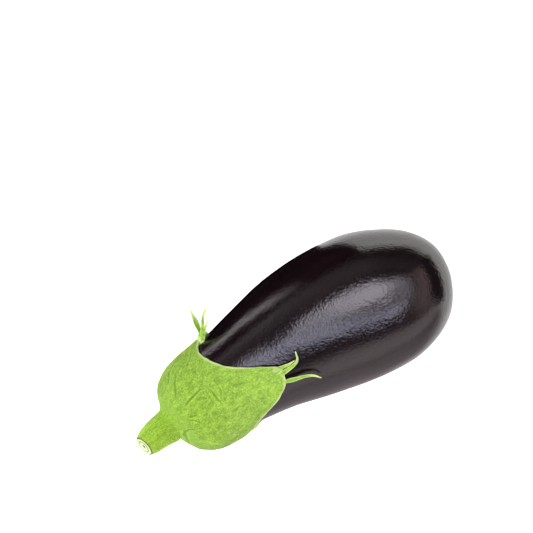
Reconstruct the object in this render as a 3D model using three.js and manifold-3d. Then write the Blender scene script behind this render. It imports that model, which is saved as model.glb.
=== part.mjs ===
// A whole eggplant lying on its side: the fruit, its calyx and a short cut stem.
//
// Frame, in millimetres: +Z is up, +X runs along the fruit from the stem to the
// blossom end, +Y is across it. The origin is the middle of the bounding box, on
// the surface that the eggplant lies on.
//
// Shapes are described about one centre line. A point is given by its station s
// (distance along +X from the cut end of the stem), an angle in degrees around the
// centre line (0 is the top, +90 is the +Y side, 180 is the underside) and a radius.

import * as THREE from "three";
import { mergeVertices } from "three/addons/utils/BufferGeometryUtils.js";
import Module from "manifold-3d";

const wasm = await Module();
wasm.setup();

// ---------------------------------------------------------------- dimensions

const HEIGHT_RATIO = 0.985; // the fruit's height over its width, slightly flattened by its weight
const REST_DEPTH = 0.55; // how much of the underside is flattened where the fruit rests
const GAP = 0.4; // between the fruit and the calyx that grips it
const JOINT_GAP = 0.3; // between the calyx and the stem
const EDGE_THICKNESS = 1.3; // of the calyx at the rim of its lobes
const TIP_LIFT = 1.2; // how far the point of a lobe stands off the fruit
const JOINT_S = 19.0; // station where the stem meets the calyx
const JOINT_R = 9.3;

const FRUIT_SIDES = 50;
const CALYX_SIDES = 68;
const STEM_SIDES = 25;
const STEM_RIDGES = 5;
const STEM_RIDGE_DEPTH = 0.035; // of the stem's radius

// centre line: station, sideways offset, height above the underside's lowest line
const CENTRE_LINE = [
  [0, 0.2, 46.6],
  [3, 0.9, 44.9],
  [8, 2.2, 42.4],
  [13, 3.4, 40.3],
  [19, 4.6, 38.4],
  [25, 5.4, 37.2],
  [32, 6.0, 36.4],
  [42, 6.8, 35.95],
  [54, 8.2, 35.95],
  [67.6, 9.8, 36.4],
  [80, 11.2, 37.1],
  [92, 12.2, 37.95],
  [106, 12.65, 39.25],
  [120, 12.5, 40.8],
  [134, 11.95, 42.6],
  [148, 11.25, 44.65],
  [162, 10.7, 46.9],
  [176, 9.7, 49.4],
  [190, 9.25, 52.0],
  [200, 9.6, 53.9],
  [206, 10.5, 55.1],
  [210.9, 12.3, 56.1],
];

const LENGTH = CENTRE_LINE[CENTRE_LINE.length - 1][0];

// the fruit's half-width at each station, from its shoulder under the calyx
const FRUIT_PROFILE = [
  [25.2, 0],
  [25.7, 6.2],
  [26.7, 12.2],
  [28.6, 18.0],
  [31.2, 22.0],
  [34.4, 24.7],
  [38.4, 26.8],
  [43.5, 28.2],
  [50, 29.2],
  [58, 30.1],
  [67.6, 31.1],
  [76, 32.7],
  [85.6, 34.5],
  [94.6, 36.4],
  [103.6, 38.5],
  [112.6, 40.3],
  [121.6, 41.6],
  [130.6, 42.8],
  [139.6, 43.6],
  [148.6, 43.9],
  [157.6, 43.7],
  [165, 43.1],
  [172, 41.6],
  [178.6, 39.5],
  [184.6, 36.9],
  [190, 34.1],
  [194.8, 30.9],
  [199, 27.3],
  [202.6, 23.2],
  [205.6, 18.6],
  [208, 13.7],
  [209.8, 8.2],
  [210.9, 0],
];

// the calyx's outer radius at each station, from the joint with the stem
const CALYX_PROFILE = [
  [JOINT_S, JOINT_R],
  [20.2, 10.3],
  [21.3, 12.9],
  [23.0, 17.4],
  [25.4, 21.4],
  [28.4, 24.3],
  [31.6, 26.4],
  [35.8, 28.5],
  [41.2, 30.1],
  [46, 30.8],
  [53.8, 31.75],
  [62.2, 32.6],
  [70, 33.5],
  [80, 35.2],
  [90, 37.2],
  [100, 39.3],
  [110, 41.3],
];

// how far along the fruit the calyx reaches, around it: angle, station.
// Four lobes, with their points at 83, -21, -131 and 160 degrees.
const CALYX_EDGE = [
  [-180, 65.5],
  [-172, 61],
  [-164, 60],
  [-156, 65.5],
  [-149, 74],
  [-143, 83.5],
  [-137, 91],
  [-131, 94.5],
  [-126, 91],
  [-119, 81],
  [-111, 72.5],
  [-102, 67.5],
  [-92, 65.5],
  [-82, 65.5],
  [-76, 66.8],
  [-66, 71],
  [-56, 76.5],
  [-46, 83],
  [-37, 89.5],
  [-30, 94],
  [-23, 96.5],
  [-17, 96.5],
  [-12, 91],
  [-7, 85.5],
  [-1, 78.5],
  [6, 71.5],
  [14, 67.5],
  [23, 63],
  [35, 58],
  [48, 55.6],
  [60, 56.4],
  [69, 59.5],
  [76, 63.5],
  [83, 65.5],
  [90, 63],
  [99, 59.5],
  [110, 58.5],
  [120, 59.5],
  [130, 63],
  [140, 68.5],
  [149, 74],
  [156, 78],
  [160, 79],
  [166, 76.5],
  [173, 71],
];

// the stem's radius at each distance from its cut end
const STEM_PROFILE = [
  [0, 6.4],
  [1.0, 6.9],
  [2.6, 7.5],
  [5.5, 8.2],
  [9, 8.7],
  [13, 9.1],
];

// the thin points that each lobe ends in: station, angle and height above the
// fruit along the middle of each one, and its radius at the root, the middle and the tip
const POINTS = [
  { at: [[58, 84, 2.2], [61.3, 84, 5.2], [63, 83, 11.5], [63.5, 81, 20.5]], r: [1.4, 1.9, 0.5] },
  { at: [[60, 80, 2.2], [64.8, 79.5, 4.6], [68.5, 79, 8.2], [72.9, 78.5, 13.6]], r: [1.4, 1.2, 0.5] },
  { at: [[61, 76, 2.0], [65.6, 75.5, 3.2], [68.6, 75, 5.2], [70.6, 75, 7.2]], r: [1.3, 1.1, 0.7] },
  { at: [[90, -17, 2.1], [95.5, -16.5, 2.2], [100, -16.4, 1.9], [104, -16.5, 1.8]], r: [1.0, 0.8, 0.4] },
  { at: [[88, -27, 2.1], [95, -26.5, 3.0], [102, -20.8, 5.0], [106.5, -9, 8.8]], r: [1.2, 1.0, 0.45] },
  { at: [[89, -30.5, 2.1], [96.6, -31.6, 2.5], [103, -30, 3.6], [112.8, -39, 2.5]], r: [1.2, 1.0, 0.45] },
  { at: [[87, -129, 2.1], [94, -127.5, 2.5], [100, -124, 3.3], [104, -120, 4.2]], r: [1.2, 1.0, 0.45] },
  { at: [[87, -133, 2.1], [93, -135, 2.3], [99, -139, 2.6], [103, -144, 2.4]], r: [1.1, 0.9, 0.45] },
  { at: [[73, 158, 2.1], [79, 156, 2.1], [84, 152.5, 2.4], [88.5, 147.5, 3.2]], r: [1.1, 0.9, 0.45] },
  { at: [[73, 162, 2.1], [78.5, 164, 2.0], [83, 166.5, 1.9], [86.5, 170, 1.8]], r: [1.1, 0.8, 0.45] },
];

// ---------------------------------------------------------------- curves

const RAD = Math.PI / 180;
const clamp01 = (t) => Math.min(1, Math.max(0, t));
const smooth = (t) => clamp01(t) ** 2 * (3 - 2 * clamp01(t));

// a smooth curve through rows of [x, y, ...], with no overshoot between them
function table(rows, column = 1, period = 0) {
  let r = rows.map((row) => [row[0], row[column]]);
  if (period)
    r = [
      ...r.slice(-2).map(([x, y]) => [x - period, y]),
      ...r,
      ...r.slice(0, 2).map(([x, y]) => [x + period, y]),
    ];
  const n = r.length;
  const d = [];
  for (let i = 0; i < n - 1; i++)
    d.push((r[i + 1][1] - r[i][1]) / (r[i + 1][0] - r[i][0]));
  const m = [d[0]];
  for (let i = 1; i < n - 1; i++) {
    const h0 = r[i][0] - r[i - 1][0],
      h1 = r[i + 1][0] - r[i][0];
    m.push(
      d[i - 1] * d[i] <= 0
        ? 0
        : (3 * (h0 + h1)) /
            ((2 * h1 + h0) / d[i - 1] + (h1 + 2 * h0) / d[i]),
    );
  }
  m.push(d[n - 2]);
  return (x) => {
    if (period) x = ((((x - rows[0][0]) % period) + period) % period) + rows[0][0];
    x = Math.min(r[n - 1][0], Math.max(r[0][0], x));
    let i = 0;
    while (i < n - 2 && x > r[i + 1][0]) i++;
    const h = r[i + 1][0] - r[i][0],
      t = (x - r[i][0]) / h;
    return (
      r[i][1] * (1 + 2 * t) * (1 - t) ** 2 +
      m[i] * h * t * (1 - t) ** 2 +
      r[i + 1][1] * t * t * (3 - 2 * t) +
      m[i + 1] * h * t * t * (t - 1)
    );
  };
}

const centreCurve = new THREE.CatmullRomCurve3(
  CENTRE_LINE.map(([s, y, z]) => new THREE.Vector3(s, y, z)),
);
const centreSamples = centreCurve.getPoints(2000).map((p) => [p.x, p.y, p.z]);
const centreY = table(centreSamples, 1);
const centreZ = table(centreSamples, 2);

// the origin and the two cross directions of the section at station s. Sections
// turn square to the stem towards it, and stand upright along the fruit.
function frameAt(s) {
  const turn = 1 - smooth((s - JOINT_S) / 20),
    a = Math.max(0, s - 0.5),
    b = Math.min(LENGTH, s + 0.5),
    slopeY = (centreY(b) - centreY(a)) / (b - a),
    slopeZ = (centreZ(b) - centreZ(a)) / (b - a),
    along = new THREE.Vector3(1, slopeY * turn, slopeZ * turn).normalize(),
    side = new THREE.Vector3(0, 0, 1).cross(along).normalize(),
    up = along.clone().cross(side);
  return {
    origin: new THREE.Vector3(s, centreY(s), centreZ(s)),
    along,
    side,
    up,
  };
}

function place(s, angle, radius, lift = 0) {
  const { origin, side, up } = frameAt(s);
  return origin
    .addScaledVector(side, (radius + lift) * Math.sin(angle * RAD))
    .addScaledVector(up, (radius * HEIGHT_RATIO + lift) * Math.cos(angle * RAD));
}

// the fruit's outline: the square of the half-width changes smoothly to 0 at both ends
const fruitSquare = table(FRUIT_PROFILE.map(([s, r]) => [s, r * r]));
const fruitRadius = (s) => Math.sqrt(Math.max(0, fruitSquare(s)));

// points of an outline [s, r], spaced evenly along it, each with its outward normal
function meridian(radiusAt, from, to, count = 1500) {
  const pts = [];
  for (let i = 0; i <= count; i++) {
    const t = i / count,
      s = from + (to - from) * (1 - Math.cos(t * Math.PI)) * 0.5;
    pts.push([s, radiusAt(s)]);
  }
  const run = [0];
  for (let i = 1; i < pts.length; i++)
    run.push(
      run[i - 1] +
        Math.hypot(pts[i][0] - pts[i - 1][0], pts[i][1] - pts[i - 1][1]),
    );
  const s = table(run.map((q, i) => [q, pts[i][0]])),
    r = table(run.map((q, i) => [q, pts[i][1]]));
  return {
    length: run[run.length - 1],
    s,
    r,
    // distance along the outline at station x
    at(x) {
      let i = 0;
      while (i < pts.length - 1 && pts[i + 1][0] < x) i++;
      return run[i];
    },
    // the point a distance off the outline, outwards
    off(q, distance) {
      const e = 0.4,
        a = Math.max(0, q - e),
        b = Math.min(run[run.length - 1], q + e),
        ds = s(b) - s(a),
        dr = q < e ? r(b) : r(b) - r(a),
        n = q < e ? [-1, 0] : [-dr, ds].map((v) => v / Math.hypot(ds, dr));
      return [s(q) + n[0] * distance, Math.max(0, r(q) + n[1] * distance)];
    },
  };
}

// ---------------------------------------------------------------- solids

// A closed body of rings of points around a line, made from a lathe whose rings
// are then moved into place. ringPoint(i, angle) gives each point; the first and
// the last rings are single points.
function ringBody(rings, sides, ringPoint) {
  const profile = [];
  for (let i = 0; i < rings; i++)
    profile.push(new THREE.Vector2(i === 0 || i === rings - 1 ? 0 : 1, i));
  let g = new THREE.LatheGeometry(profile, sides);
  g.deleteAttribute("normal");
  g.deleteAttribute("uv");
  g = mergeVertices(g, 1e-4);
  const p = g.attributes.position,
    index = [];
  for (let i = 0; i < p.count; i++) {
    const ring = Math.round(p.getY(i)),
      angle = Math.atan2(p.getX(i), p.getZ(i)) / RAD,
      v = ringPoint(ring, angle);
    p.setXYZ(i, v.x, v.y, v.z);
  }
  const old = g.index.array;
  for (let i = 0; i < old.length; i += 3) {
    const [a, b, c] = [old[i], old[i + 1], old[i + 2]];
    if (a !== b && b !== c && c !== a) index.push(a, b, c);
  }
  return solid(p.array, index);
}

function solid(positions, index) {
  const make = (tri) =>
    new wasm.Manifold(
      new wasm.Mesh({
        numProp: 3,
        vertProperties: new Float32Array(positions),
        triVerts: new Uint32Array(tri),
      }),
    );
  const made = make(index);
  if (made.volume() > 0) return made;
  const turned = [];
  for (let i = 0; i < index.length; i += 3)
    turned.push(index[i], index[i + 2], index[i + 1]);
  return make(turned);
}

function solidOfGeometry(geometry) {
  const g = geometry.clone();
  g.deleteAttribute("normal");
  g.deleteAttribute("uv");
  const m = mergeVertices(g, 1e-4);
  return solid(m.attributes.position.array, Array.from(m.index.array));
}

// A tapered round body along a curve, its radius given by radiusAt(0..1).
function sweptBody(curve, rings, sides, radiusAt, upHint) {
  const sections = [];
  for (let i = 0; i < rings; i++) {
    const t = Math.min(1, Math.max(0, (i - 1) / (rings - 3))),
      p = curve.getPointAt(t),
      along = curve.getTangentAt(t),
      side = upHint(t).clone().cross(along).normalize(),
      up = along.clone().cross(side);
    sections.push({ p, side, up, r: radiusAt(t) });
  }
  return ringBody(rings, sides, (i, angle) => {
    const { p, side, up, r } = sections[i];
    if (i === 0 || i === rings - 1) return p.clone();
    return p
      .clone()
      .addScaledVector(side, r * Math.sin(angle * RAD))
      .addScaledVector(up, r * Math.cos(angle * RAD));
  });
}

// ---- fruit

const outline = meridian(
  fruitRadius,
  FRUIT_PROFILE[0][0],
  FRUIT_PROFILE[FRUIT_PROFILE.length - 1][0],
);
const FRUIT_RINGS = 36;

// rings are closer together on the shoulder and at the blossom end
const fruitRun = table([
  [0, 0],
  [0.06, 0.022],
  [0.28, 0.145],
  [0.72, 0.74],
  [0.92, 0.955],
  [1, 1],
]);

function fruitBody() {
  return ringBody(FRUIT_RINGS, FRUIT_SIDES, (i, angle) => {
    const q = fruitRun(i / (FRUIT_RINGS - 1)) * outline.length;
    return place(outline.s(q), angle, i && i < FRUIT_RINGS - 1 ? outline.r(q) : 0);
  });
}

// ---- calyx

const edgeStation = table(CALYX_EDGE, 1, 360);
const calyxRadius = table(CALYX_PROFILE);
const calyxOutline = meridian(
  calyxRadius,
  CALYX_PROFILE[0][0],
  CALYX_PROFILE[CALYX_PROFILE.length - 1][0],
);
// 0 between lobes, 1 at the point of a lobe
const lobeness = (angle) => smooth((edgeStation(angle) - 66) / 24);

// rings of the calyx: distances along its outline on the crown and the shoulder,
// then shares of what is left up to the rim
const OUTER_CROWN = [0, 1.6, 4.4, 9.2, 13.9, 18.1, 21.9, 26.6];
const OUTER_LOBES = [0.22, 0.45, 0.66, 0.83, 0.94, 1];
const INNER_LOBES = [1, 0.86, 0.66, 0.42, 0.2];
const INNER_CROWN = [32, 27, 23, 19, 15, 11, 6.5, 3];

function calyxBody() {
  const outer = OUTER_CROWN.length + OUTER_LOBES.length,
    inner = INNER_LOBES.length + INNER_CROWN.length,
    rings = 1 + outer + inner + 1;
  return ringBody(rings, CALYX_SIDES, (i, angle) => {
    if (i === 0) return place(JOINT_S, 0, 0);
    const edge = edgeStation(angle);
    if (i <= outer) {
      const crown = OUTER_CROWN[OUTER_CROWN.length - 1],
        q =
          i <= OUTER_CROWN.length
            ? OUTER_CROWN[i - 1]
            : crown +
              (calyxOutline.at(edge) - crown) *
                OUTER_LOBES[i - 1 - OUTER_CROWN.length],
        s = calyxOutline.s(q),
        toEdge = edge - s,
        // thins to the rim, which is blunt, and lifts at the points of the lobes
        full = calyxOutline.r(q),
        skin = fruitRadius(Math.max(s, 26)) + GAP + EDGE_THICKNESS,
        thin = s > 40 ? smooth((14 - toEdge) / 12) : 0,
        lift = TIP_LIFT * lobeness(angle) * smooth((16 - toEdge) / 16);
      return place(s, angle, full + (skin - full) * thin + lift);
    }
    if (i === rings - 1) return place(outline.off(0, GAP)[0], 0, 0);
    const j = i - 1 - outer,
      crown = INNER_CROWN[0],
      q =
        j < INNER_LOBES.length
          ? crown + (outline.at(edge) - crown) * INNER_LOBES[j]
          : INNER_CROWN[j - INNER_LOBES.length],
      [s, r] = outline.off(q, GAP),
      lift = TIP_LIFT * lobeness(angle) * smooth((16 - (edge - s)) / 16);
    return place(s, angle, r + lift);
  });
}

function pointBody({ at, r }) {
  const curve = new THREE.CatmullRomCurve3(
    at.map(([s, angle, h]) => place(s, angle, fruitRadius(s), h)),
  );
  const thickness = table([
    [0, r[0]],
    [0.45, r[1]],
    [1, r[2]],
  ]);
  const [s, angle] = at[1],
    { side, up } = frameAt(s),
    out = side
      .multiplyScalar(Math.sin(angle * RAD))
      .addScaledVector(up, Math.cos(angle * RAD));
  return sweptBody(curve, 9, 6, thickness, () => out);
}

// ---- stem

const STEM_STATIONS = [0, 0.9, 2.4, 4.6, 7, 9.4, 11.8, 14, 16, 17.6, JOINT_S - JOINT_GAP];
const stemRadius = table([...STEM_PROFILE, [JOINT_S, JOINT_R]]);

function stemBody() {
  const rings = STEM_STATIONS.length + 2;
  return ringBody(rings, STEM_SIDES, (i, angle) => {
    if (i === 0) return place(0, 0, 0);
    if (i === rings - 1) return place(JOINT_S - JOINT_GAP, 0, 0);
    const s = STEM_STATIONS[i - 1],
      fade = 1 - (s / JOINT_S) ** 2,
      ridge = STEM_RIDGE_DEPTH * fade * Math.cos(STEM_RIDGES * angle * RAD + 0.6);
    return place(s, angle, stemRadius(s) * (1 + ridge));
  });
}

// ---------------------------------------------------------------- assembly

let fruit = fruitBody();
let calyx = calyxBody();
for (const p of POINTS) calyx = calyx.add(pointBody(p));
const stem = stemBody();

// the flat where the fruit rests
const lowest = fruit.boundingBox().min[2];
const floor = new THREE.BoxGeometry(300, 300, 20);
floor.translate(100, 0, lowest + REST_DEPTH - 10);
fruit = fruit.subtract(solidOfGeometry(floor));

const boxes = [fruit, calyx, stem].map((m) => m.boundingBox());
const low = [0, 1, 2].map((i) => Math.min(...boxes.map((b) => b.min[i])));
const high = [0, 1, 2].map((i) => Math.max(...boxes.map((b) => b.max[i])));
const shift = new THREE.Vector3(
  -(low[0] + high[0]) / 2,
  -(low[1] + high[1]) / 2,
  -fruit.boundingBox().min[2],
);

function node(name, made, colour, roughness) {
  const m = made.getMesh(),
    n = m.numProp,
    positions = new Float32Array(m.numVert * 3);
  for (let i = 0; i < m.numVert; i++)
    positions.set(m.vertProperties.subarray(i * n, i * n + 3), i * 3);
  const geometry = new THREE.BufferGeometry()
    .setAttribute("position", new THREE.BufferAttribute(positions, 3))
    .setIndex(new THREE.BufferAttribute(new Uint32Array(m.triVerts), 1));
  geometry.computeVertexNormals();
  const mesh = new THREE.Mesh(
    geometry,
    new THREE.MeshStandardMaterial({ color: colour, roughness, metalness: 0 }),
  );
  mesh.name = name;
  return mesh;
}

const eggplant = new THREE.Group();
eggplant.position.copy(shift);
eggplant.add(
  node("fruit", fruit, 0x1c1218, 0.22),
  node("calyx", calyx, 0x8fbf3f, 0.6),
  node("stem", stem, 0x8cbb3c, 0.6),
);

export default eggplant;
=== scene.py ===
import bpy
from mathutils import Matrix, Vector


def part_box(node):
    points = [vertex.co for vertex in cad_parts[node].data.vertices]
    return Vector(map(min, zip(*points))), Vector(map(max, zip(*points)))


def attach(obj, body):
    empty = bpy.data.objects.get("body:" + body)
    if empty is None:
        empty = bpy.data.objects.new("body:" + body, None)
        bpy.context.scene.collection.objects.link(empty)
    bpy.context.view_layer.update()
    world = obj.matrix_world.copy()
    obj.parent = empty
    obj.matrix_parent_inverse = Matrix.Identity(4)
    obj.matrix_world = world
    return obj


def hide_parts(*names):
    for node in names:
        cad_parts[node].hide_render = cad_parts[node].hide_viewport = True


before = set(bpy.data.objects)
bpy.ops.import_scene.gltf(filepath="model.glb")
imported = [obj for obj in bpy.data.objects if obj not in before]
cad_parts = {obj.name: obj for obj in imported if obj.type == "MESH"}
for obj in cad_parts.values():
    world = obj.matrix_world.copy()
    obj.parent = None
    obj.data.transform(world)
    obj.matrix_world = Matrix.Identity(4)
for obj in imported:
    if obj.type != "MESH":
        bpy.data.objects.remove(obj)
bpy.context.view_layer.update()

import math

import bmesh
import bpy
import numpy as np
from mathutils import Matrix, Vector
from mathutils.kdtree import KDTree

MM = 0.001
rad = math.radians

# The model is drawn in millimetres about the same centre line as the CAD solids: a point is a
# station s along +X from the stem's cut end, an angle in degrees round the centre line (0 top,
# +90 the +Y side) and a radius. SHIFT takes that to the row frame.
lo_f, hi_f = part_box("fruit")
LENGTH = 210.9
SHIFT = np.array([hi_f.x / MM - LENGTH, -13.6376, -0.4992])

HEIGHT_RATIO = 0.985
JOINT_S = 19.0
GAP = 0.35
RIM = 1.45  # thickness of the calyx at its rim

CENTRE_LINE = [
    (0, 0.2, 46.6), (3, 0.9, 44.9), (8, 2.2, 42.4), (13, 3.4, 40.3), (19, 4.6, 38.4), (25, 5.4, 37.2),
    (32, 6.0, 36.4), (42, 6.8, 35.95), (54, 8.2, 35.95), (67.6, 9.8, 36.4), (80, 11.2, 37.1),
    (92, 12.2, 37.95), (106, 12.65, 39.25), (120, 12.5, 40.8), (134, 11.95, 42.6), (148, 11.25, 44.65),
    (162, 10.7, 46.9), (176, 9.7, 49.4), (190, 9.25, 52.0), (200, 9.6, 53.9), (206, 10.5, 55.1),
    (210.9, 12.3, 56.1),
]
FRUIT_PROFILE = [
    (25.2, 0), (25.7, 6.2), (26.7, 12.2), (28.6, 18.0), (31.2, 22.0), (34.4, 24.7), (38.4, 26.8),
    (43.5, 28.2), (50, 29.2), (58, 30.1), (67.6, 31.1), (76, 32.7), (85.6, 34.5), (94.6, 36.4),
    (103.6, 38.5), (112.6, 40.3), (121.6, 41.6), (130.6, 42.8), (139.6, 43.6), (148.6, 43.9),
    (157.6, 43.7), (165, 43.1), (172, 41.6), (178.6, 39.5), (184.6, 36.9), (190, 34.1), (194.8, 30.9),
    (199, 27.3), (202.6, 23.2), (205.6, 18.6), (208, 13.7), (209.8, 8.2), (210.9, 0),
]
# stem and calyx share one outline: radius at each station, from the cut end to the lobes
GREEN_PROFILE = [
    (0, 6.35), (0.9, 6.9), (2.4, 7.5), (5.0, 8.15), (9, 8.65), (13, 9.0), (16.5, 9.2), (19.0, 9.6),
    (20.4, 10.7), (21.4, 12.9), (23.0, 17.4), (25.4, 21.4), (28.4, 24.3), (31.6, 26.4), (35.8, 28.5),
    (41.2, 30.1), (46, 30.8), (53.8, 31.75), (62.2, 32.6), (70, 33.5), (80, 35.2), (90, 37.2),
    (100, 39.3), (110, 41.3),
]
CALYX_EDGE = [
    (-180, 65.5), (-172, 61), (-164, 60), (-156, 65.5), (-149, 74), (-143, 83.5), (-137, 91),
    (-131, 94.5), (-126, 91), (-119, 81), (-111, 72.5), (-102, 66.5), (-92, 63.6), (-82, 62.9),
    (-72, 64.2), (-61, 69), (-54, 74.1), (-48, 79), (-43, 83.2), (-38, 87.2), (-33, 90.8), (-30, 92.3),
    (-26.5, 93.4), (-22, 94.2), (-16.5, 94.9), (-11.6, 93.4), (-7.8, 89.4), (-3.7, 85.2), (1.5, 78.8),
    (7, 73.6), (12, 69.7), (19, 65.8), (26, 62.4), (35, 59.4), (44, 57.3), (54, 56.5), (64, 56.9),
    (72, 58.8), (76, 60.9), (80, 64.4), (83, 65.6), (86, 64.4), (91, 61), (99, 59.2), (110, 58.5), (120, 59.5),
    (130, 63), (140, 68.5), (149, 74), (156, 78), (160, 79), (166, 76.5), (173, 71),
]
LOBES = (83, -21, -131, 160)


# ------------------------------------------------------------------ numbers

def smooth(t):
    t = np.clip(t, 0, 1)
    return t * t * (3 - 2 * t)


def table(rows, column=1, period=None):
    """A smooth curve through the rows with no overshoot."""
    x = np.array([r[0] for r in rows], float)
    y = np.array([r[column] for r in rows], float)
    x0 = x[0]
    if period:
        x = np.concatenate([x[-3:] - period, x, x[:3] + period])
        y = np.concatenate([y[-3:], y, y[:3]])
    h = np.diff(x)
    d = np.diff(y) / h
    m = np.zeros_like(y)
    m[0], m[-1] = d[0], d[-1]
    same = d[:-1] * d[1:] > 0
    with np.errstate(divide="ignore", invalid="ignore"):
        inner = 3 * (h[:-1] + h[1:]) / ((2 * h[1:] + h[:-1]) / d[:-1] + (h[1:] + 2 * h[:-1]) / d[1:])
    m[1:-1] = np.where(same, inner, 0)

    def f(v):
        v = np.asarray(v, float)
        if period:
            v = (v - x0) % period + x0
        v = np.clip(v, x[0], x[-1])
        i = np.clip(np.searchsorted(x, v, "right") - 1, 0, len(x) - 2)
        hh = x[i + 1] - x[i]
        t = (v - x[i]) / hh
        return (y[i] * (1 + 2 * t) * (1 - t) ** 2 + m[i] * hh * t * (1 - t) ** 2
                + y[i + 1] * t * t * (3 - 2 * t) + m[i + 1] * hh * t * t * (t - 1))

    return f


def blur(v, sigma, step):
    n = max(1, int(4 * sigma / step))
    k = np.exp(-0.5 * (np.arange(-n, n + 1) * step / sigma) ** 2)
    return np.convolve(v, k / k.sum(), "valid"), n


class Noise:
    """Seeded 3-D gradient noise for arrays of points, about -1 to 1."""

    def __init__(self, seed):
        rng = np.random.RandomState(seed)
        self.perm = np.tile(rng.permutation(256), 3)
        g = rng.normal(size=(256, 3))
        self.grad = g / np.linalg.norm(g, axis=1)[:, None]

    def __call__(self, p):
        p = np.asarray(p, float)
        i = np.floor(p).astype(int)
        f = p - i
        u = f * f * f * (f * (f * 6 - 15) + 10)
        i &= 255
        out = 0
        for dx in (0, 1):
            for dy in (0, 1):
                for dz in (0, 1):
                    h = self.perm[self.perm[self.perm[i[..., 0] + dx] + i[..., 1] + dy] + i[..., 2] + dz]
                    dot = (self.grad[h] * (f - (dx, dy, dz))).sum(-1)
                    w = ((u[..., 0] if dx else 1 - u[..., 0]) * (u[..., 1] if dy else 1 - u[..., 1])
                         * (u[..., 2] if dz else 1 - u[..., 2]))
                    out = out + w * dot
        return out * 1.6


# centre line, smoothed so that reflections run along the skin without breaks
_s = np.arange(-40, LENGTH + 40, 0.25)


def _centre(col):
    f = table(CENTRE_LINE, col)
    v = f(_s)
    a, b = (f(1.0) - f(0.0)), (f(LENGTH) - f(LENGTH - 1.0))
    v = np.where(_s < 0, f(0.0) + _s * a, v)
    v = np.where(_s > LENGTH, f(LENGTH) + (_s - LENGTH) * b, v)
    w, n = blur(v, 4.0, 0.25)
    return _s[n:-n], w


_cs, _cy = _centre(1)
_, _cz = _centre(2)
_dy, _dz = np.gradient(_cy, _cs), np.gradient(_cz, _cs)


def frame_at(s):
    """Centre, side and up directions of the section at stations s."""
    s = np.asarray(s, float)
    turn = 1 - smooth((s - JOINT_S) / 20)
    a = np.stack([np.ones_like(s), np.interp(s, _cs, _dy) * turn, np.interp(s, _cs, _dz) * turn], -1)
    a /= np.linalg.norm(a, axis=-1, keepdims=True)
    side = np.cross(np.array([0, 0, 1.0]), a)
    side /= np.linalg.norm(side, axis=-1, keepdims=True)
    up = np.cross(a, side)
    c = np.stack([s, np.interp(s, _cs, _cy), np.interp(s, _cs, _cz)], -1)
    return c, a, side, up


def place(s, angle, radius, lift=0.0):
    s, angle, radius, lift = np.broadcast_arrays(
        np.asarray(s, float), np.asarray(angle, float), np.asarray(radius, float), np.asarray(lift, float))
    c, _, side, up = frame_at(s)
    t = np.radians(angle)
    return (c + side * ((radius + lift) * np.sin(t))[..., None]
            + up * ((radius * HEIGHT_RATIO + lift) * np.cos(t))[..., None])


class Outline:
    """A profile (s, r) by distance q along it, blurred a little. Ends on the axis stay round."""

    def __init__(self, rows, sigma, poles):
        s0, s1 = rows[0][0], rows[-1][0]
        if poles:
            f = table([(s, r * r) for s, r in rows])
            t = (1 - np.cos(np.linspace(0, np.pi, 6000))) / 2
            s = s0 + (s1 - s0) * t
            r = np.sqrt(np.maximum(0, f(s)))
            r[0] = r[-1] = 0
        else:
            s = np.linspace(s0, s1, 6000)
            r = table(rows)(s)
        q = np.concatenate([[0], np.cumsum(np.hypot(np.diff(s), np.diff(r)))])
        step = 0.1
        n = int(q[-1] / step)
        Q = np.arange(n + 1) * (q[-1] / n)
        S, R = np.interp(Q, q, s), np.interp(Q, q, r)
        if sigma:
            pad = int(4 * sigma / step)
            if poles:
                S = np.concatenate([S[1:pad + 1][::-1], S, S[-pad - 1:-1][::-1]])
                R = np.concatenate([-R[1:pad + 1][::-1], R, -R[-pad - 1:-1][::-1]])
            else:
                k = np.arange(1, pad + 1)
                S = np.concatenate([S[0] - (S[1:pad + 1] - S[0])[::-1], S, S[-1] + (S[-1] - S[-pad - 1:-1])[::-1]])
                R = np.concatenate([R[0] - (R[1:pad + 1] - R[0])[::-1], R, R[-1] + (R[-1] - R[-pad - 1:-1])[::-1]])
            S, m = blur(S, sigma, step)
            R, m = blur(R, sigma, step)
            extra = (len(S) - (n + 1)) // 2
            if extra > 0:
                S, R = S[extra:len(S) - extra], R[extra:len(R) - extra]
            if poles:  # the blur draws the ends in; the last few millimetres are put back
                S = s0 + (S - S[0]) * (s1 - s0) / (S[-1] - S[0])
        self.S, self.R = S, R
        self.Q = np.concatenate([[0], np.cumsum(np.hypot(np.diff(S), np.diff(R)))])
        self.length = self.Q[-1]
        ds, dr = np.gradient(S, self.Q), np.gradient(R, self.Q)
        l = np.hypot(ds, dr)
        self.ns, self.nr = -dr / l, ds / l

    def s(self, q):
        return np.interp(q, self.Q, self.S)

    def r(self, q):
        return np.interp(q, self.Q, self.R)

    def at(self, s):
        return np.interp(s, self.S, self.Q)

    def off(self, q, d):
        """The point a distance d off the outline, outwards."""
        return self.s(q) + np.interp(q, self.Q, self.ns) * d, np.maximum(0, self.r(q) + np.interp(q, self.Q, self.nr) * d)


fruit_line = Outline(FRUIT_PROFILE, 2.6, True)
green_line = Outline(GREEN_PROFILE, 0.7, False)
edge_of = table(CALYX_EDGE, 1, 360)
fruit_radius = lambda s: np.interp(s, fruit_line.S, fruit_line.R)

broad, medium, fine, stroke = Noise(11), Noise(23), Noise(37), Noise(51)


# ------------------------------------------------------------------ mesh making

def to_row(p):
    return (np.asarray(p) + SHIFT) * MM


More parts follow.
